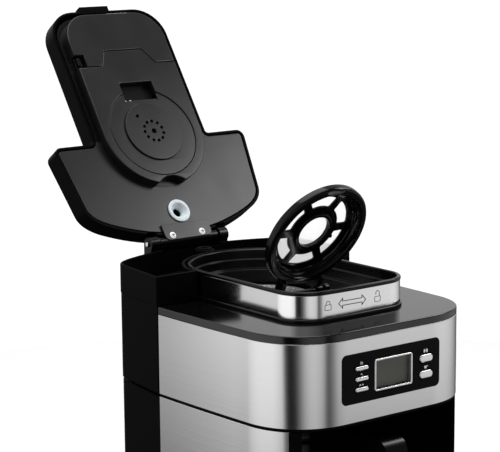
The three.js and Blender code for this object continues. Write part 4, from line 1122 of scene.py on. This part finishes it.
def build_icons():
    """Generic pictograms where such a machine carries words."""
    chevron = [(-0.9, -0.5), (0, 0.5), (0.9, -0.5)]
    for name, button, lift, shapes in (
            ("clock", "clock", 2.2, [(circle(1.25, steps=24), circle(0.95, steps=24)),
                                     stroke([(0, 0.8), (0, 0), (0.6, -0.2)], 0.3)]),
            ("one", "hour", 2, [stroke(chevron, 0.5)]),
            ("two", "minute", 2, [stroke([(x + dx, z) for x, z in chevron], 0.5) for dx in (-1.3, 1.3)]),
            ("beans", "beans", 2.9, [ellipse(0.9, 1.5, 1.3 * side, 0.15 * side) for side in (-1, 1)]),
            ("cup", "brew", 2.7, [fillet([(-1.5, 1), (-1.2, -1.2, 0.8), (1.0, -1.2, 0.8), (1.3, 1)], 4),
                                  stroke([(1.2, 0.6), (2.6, 0.7)], 0.45)])):
        x, z, _, height = node_face("button_" + button, KEY_INSET)
        printed("icon_" + name, shapes, x, z + height / 2 + lift, fascia_surface, WHITE_INK)
    z = (BAND_LOW[2] + BAND_HIGH[2]) / 2 - 1.2
    arrow = [(-9.6, -4.6), (-9.6, -2), (9.6, -2), (9.6, -4.6), (14.3, 0), (9.6, 4.6), (9.6, 2), (-9.6, 2),
        (-9.6, 4.6), (-14.3, 0)]
    printed("mark_arrow", [(arrow, offset(arrow, -0.6))], -6.6, z + 1.6, band_surface, GREY_INK)
    for name, x, lift in (("mark_locked", -31, 0.0), ("mark_open", 20, 1.5)):
        body = (rounded_box(6.4, 4.6, 0.7), rounded_box(5.6, 3.8, 0.4))
        bow = [(-1.9, 2.2 + lift)] + arc(0, 3.2 + lift, 1.9, 180, 0, 10) + [(1.9, 2.2)]
        printed(name, [body, stroke(bow, 0.45)], x, z, band_surface, GREY_INK)


# ---- studio
# Bearing in degrees (0 is +X, 90 is +Y) and brightness of the studio around the object. Upright steel
# mirrors the first row on its upper part and the second on its lower part. The third is above the horizon.
UPPER_PANELS = [(-180, 1.08), (-172, 0.97), (-164.5, 0.86), (-161, 0.75), (-158.5, 0.2), (-155, 0.02),
    (-143, 0.01), (-137, 0.07), (-130, 0.19), (-125.4, 0.35), (-118, 0.6), (-107, 0.71), (-92, 0.64),
    (-88, 0.55), (-84.6, 0.44), (-82, 0.2), (-78, 0.1), (-70, 0.26), (-64, 0.5), (-60, 0.6), (-37, 0.77),
    (-24, 0.77), (-4, 0.63), (8, 0.44), (18, 0.27), (33, 0.1), (118, 0.24), (126, 0.52), (130, 0.73),
    (133, 0.86), (150, 1.02)]
LOWER_PANELS = [(-180, 0.95), (-163, 0.78), (-159, 0.7), (-156, 0.3), (-152, 0.05), (-147, 0.01),
    (-136, 0.01), (-129, 0.14), (-118, 0.42), (-110, 0.59), (-100, 0.62), (-92, 0.52), (-86, 0.38),
    (-82, 0.16), (-77, 0.07), (-71, 0.16), (-64, 0.32), (-60, 0.43), (-49, 0.53), (-36, 0.58), (-14, 0.52),
    (3, 0.37), (18, 0.24), (30, 0.1), (100, 0.08), (118, 0.16), (127, 0.34), (132, 0.5), (134, 0.66),
    (146, 0.85), (160, 0.94)]
HIGH_PANELS = [(-180, 0.8), (-150, 0.3), (-120, 0.3), (-60, 0.1), (-20, 0.14), (20, 0.6), (40, 0.75),
    (70, 0.78), (110, 0.7), (150, 0.8)]
# Sine of the elevation and the share of the lower panels' brightness left there.
LOW_FADE = [(-1.0, 0.05), (-0.6, 0.15), (-0.4, 0.3), (-0.33, 0.5), (-0.3, 0.68), (-0.278, 0.97),
    (-0.26, 1.0), (0, 1.0)]
# Sines of elevation: the lower row gives way to the upper one between the first two, the upper to the third
# between the second two.
LOWER_TO_UPPER = (-0.274, -0.230)
UPPER_TO_HIGH = (-0.1, 0.04)
BACKDROP = 1.1
# Name, power in watts, side of the square, place and target in metres.
LIGHTS = [("overhead", 22, 1.6, (0, 0, 2.2), (0, 0, 0.2)),
          ("lid_glow", 1.7, 0.3, (0.51, -0.19, 0.76), (0.03, 0.18, 0.38))]
FLOOR_RADIUS = 1150
# Azimuth, elevation and roll in degrees, place in metres, focal length and sensor width in millimetres.
CAMERA_ANGLES = (-37.887, 10.027, -0.475)
CAMERA_PLACE = (-0.9437, -1.1620, 0.6311)
FOCAL_LENGTH = 133.86
SENSOR_WIDTH = 36


def ramp_of(tree, stops, factor):
    """A grey colour ramp through (position, level) stops."""
    ramp = tree.nodes.new("ShaderNodeValToRGB")
    elements = ramp.color_ramp.elements
    while len(elements) > 1:
        elements.remove(elements[-1])
    for i, (position, level) in enumerate(sorted(stops)):
        stop = elements[0] if i == 0 else elements.new(position)
        stop.position = position
        stop.color = (level, level, level, 1)
    tree.links.new(factor, ramp.inputs["Fac"])
    return ramp.outputs["Color"]


def build_world():
    """Soft panels around the object, bright and dark by bearing, with plain white behind for the camera."""
    world = bpy.data.worlds.new("studio")
    world.use_nodes = True
    bpy.context.scene.world = world
    tree = world.node_tree
    tree.nodes.clear()
    new = tree.nodes.new
    link = tree.links.new
    split = new("ShaderNodeSeparateXYZ")
    link(new("ShaderNodeTexCoord").outputs["Generated"], split.inputs["Vector"])
    bearing = new("ShaderNodeMath")
    bearing.operation = "ARCTAN2"
    link(split.outputs["Y"], bearing.inputs[0])
    link(split.outputs["X"], bearing.inputs[1])
    turn = map_range(tree, bearing.outputs["Value"], -pi, pi)
    upper, lower, high = (ramp_of(tree, [((angle + 180) / 360, level) for angle, level in panels], turn)
        for panels in (UPPER_PANELS, LOWER_PANELS, HIGH_PANELS))
    height = split.outputs["Z"]
    low = mix_color(tree, map_range(tree, height, *LOWER_TO_UPPER), lower, upper)
    fade = ramp_of(tree, [((z + 1) / 2, level) for z, level in LOW_FADE], map_range(tree, height, -1, 1))
    low = mix_color(tree, 1.0, low, fade, "MULTIPLY")
    around = new("ShaderNodeBackground")
    link(mix_color(tree, map_range(tree, height, *UPPER_TO_HIGH, eased=True), low, high),
        around.inputs["Color"])
    plain = new("ShaderNodeBackground")
    plain.inputs["Color"].default_value = (1, 1, 1, 1)
    plain.inputs["Strength"].default_value = BACKDROP
    mix = new("ShaderNodeMixShader")
    link(new("ShaderNodeLightPath").outputs["Is Camera Ray"], mix.inputs["Fac"])
    link(around.outputs["Background"], mix.inputs[1])
    link(plain.outputs["Background"], mix.inputs[2])
    link(mix.outputs["Shader"], new("ShaderNodeOutputWorld").inputs["Surface"])


def build_floor():
    floor = solid_from(plate(circle(FLOOR_RADIUS, steps=96), -4, -0.05), "floor_disc")
    floor.data.materials.append(surface("pale_floor", (0.93, 0.93, 0.93), 0.6, (3, 2),
        (0.92 / 0.93, 0.94 / 0.93), glow=0.25))
    floor.visible_glossy = False


def build_lights():
    for name, power, side, place, target in LIGHTS:
        light = bpy.data.lights.new(name, "AREA")
        light.size = side
        light.energy = power
        lamp = add_object(name, light)
        lamp.location = place
        lamp.rotation_euler = (Vector(target) - Vector(place)).to_track_quat("-Z", "Y").to_euler()


def build_camera():
    azimuth, elevation, roll = (radians(angle) for angle in CAMERA_ANGLES)
    right = Vector((cos(azimuth), sin(azimuth), 0))
    forward = Vector((-sin(azimuth), cos(azimuth), 0))
    back = Vector((0, 0, sin(elevation))) - forward * cos(elevation)
    up = back.cross(right)
    right, up = right * cos(roll) + up * sin(roll), up * cos(roll) - right * sin(roll)
    camera = add_object("camera", bpy.data.cameras.new("camera"))
    camera.data.lens = FOCAL_LENGTH
    camera.data.sensor_width = SENSOR_WIDTH
    camera.data.clip_start = 0.05
    camera.matrix_world = Matrix.Translation(CAMERA_PLACE) @ Matrix((right, up, back)).transposed().to_4x4()
    bpy.context.scene.camera = camera


# ---- everything
build_wrap()
for panel_side, _ in SIDES:
    build_side_panel(panel_side)
for build in (build_deck, build_box, build_tank, build_rear_cover):
    build()
for node, (material, width) in CARRIED_OVER.items():
    soften(node, material, width)
for build in (build_lid_shell, build_lid_plate, build_platform, build_shower, build_grommet, build_screws,
        build_apron, build_cover, build_basket, build_cup, build_plate, build_carafe, build_panel,
        build_icons, build_world, build_floor, build_lights, build_camera):
    build()
bpy.context.scene.view_settings.view_transform = "Standard"
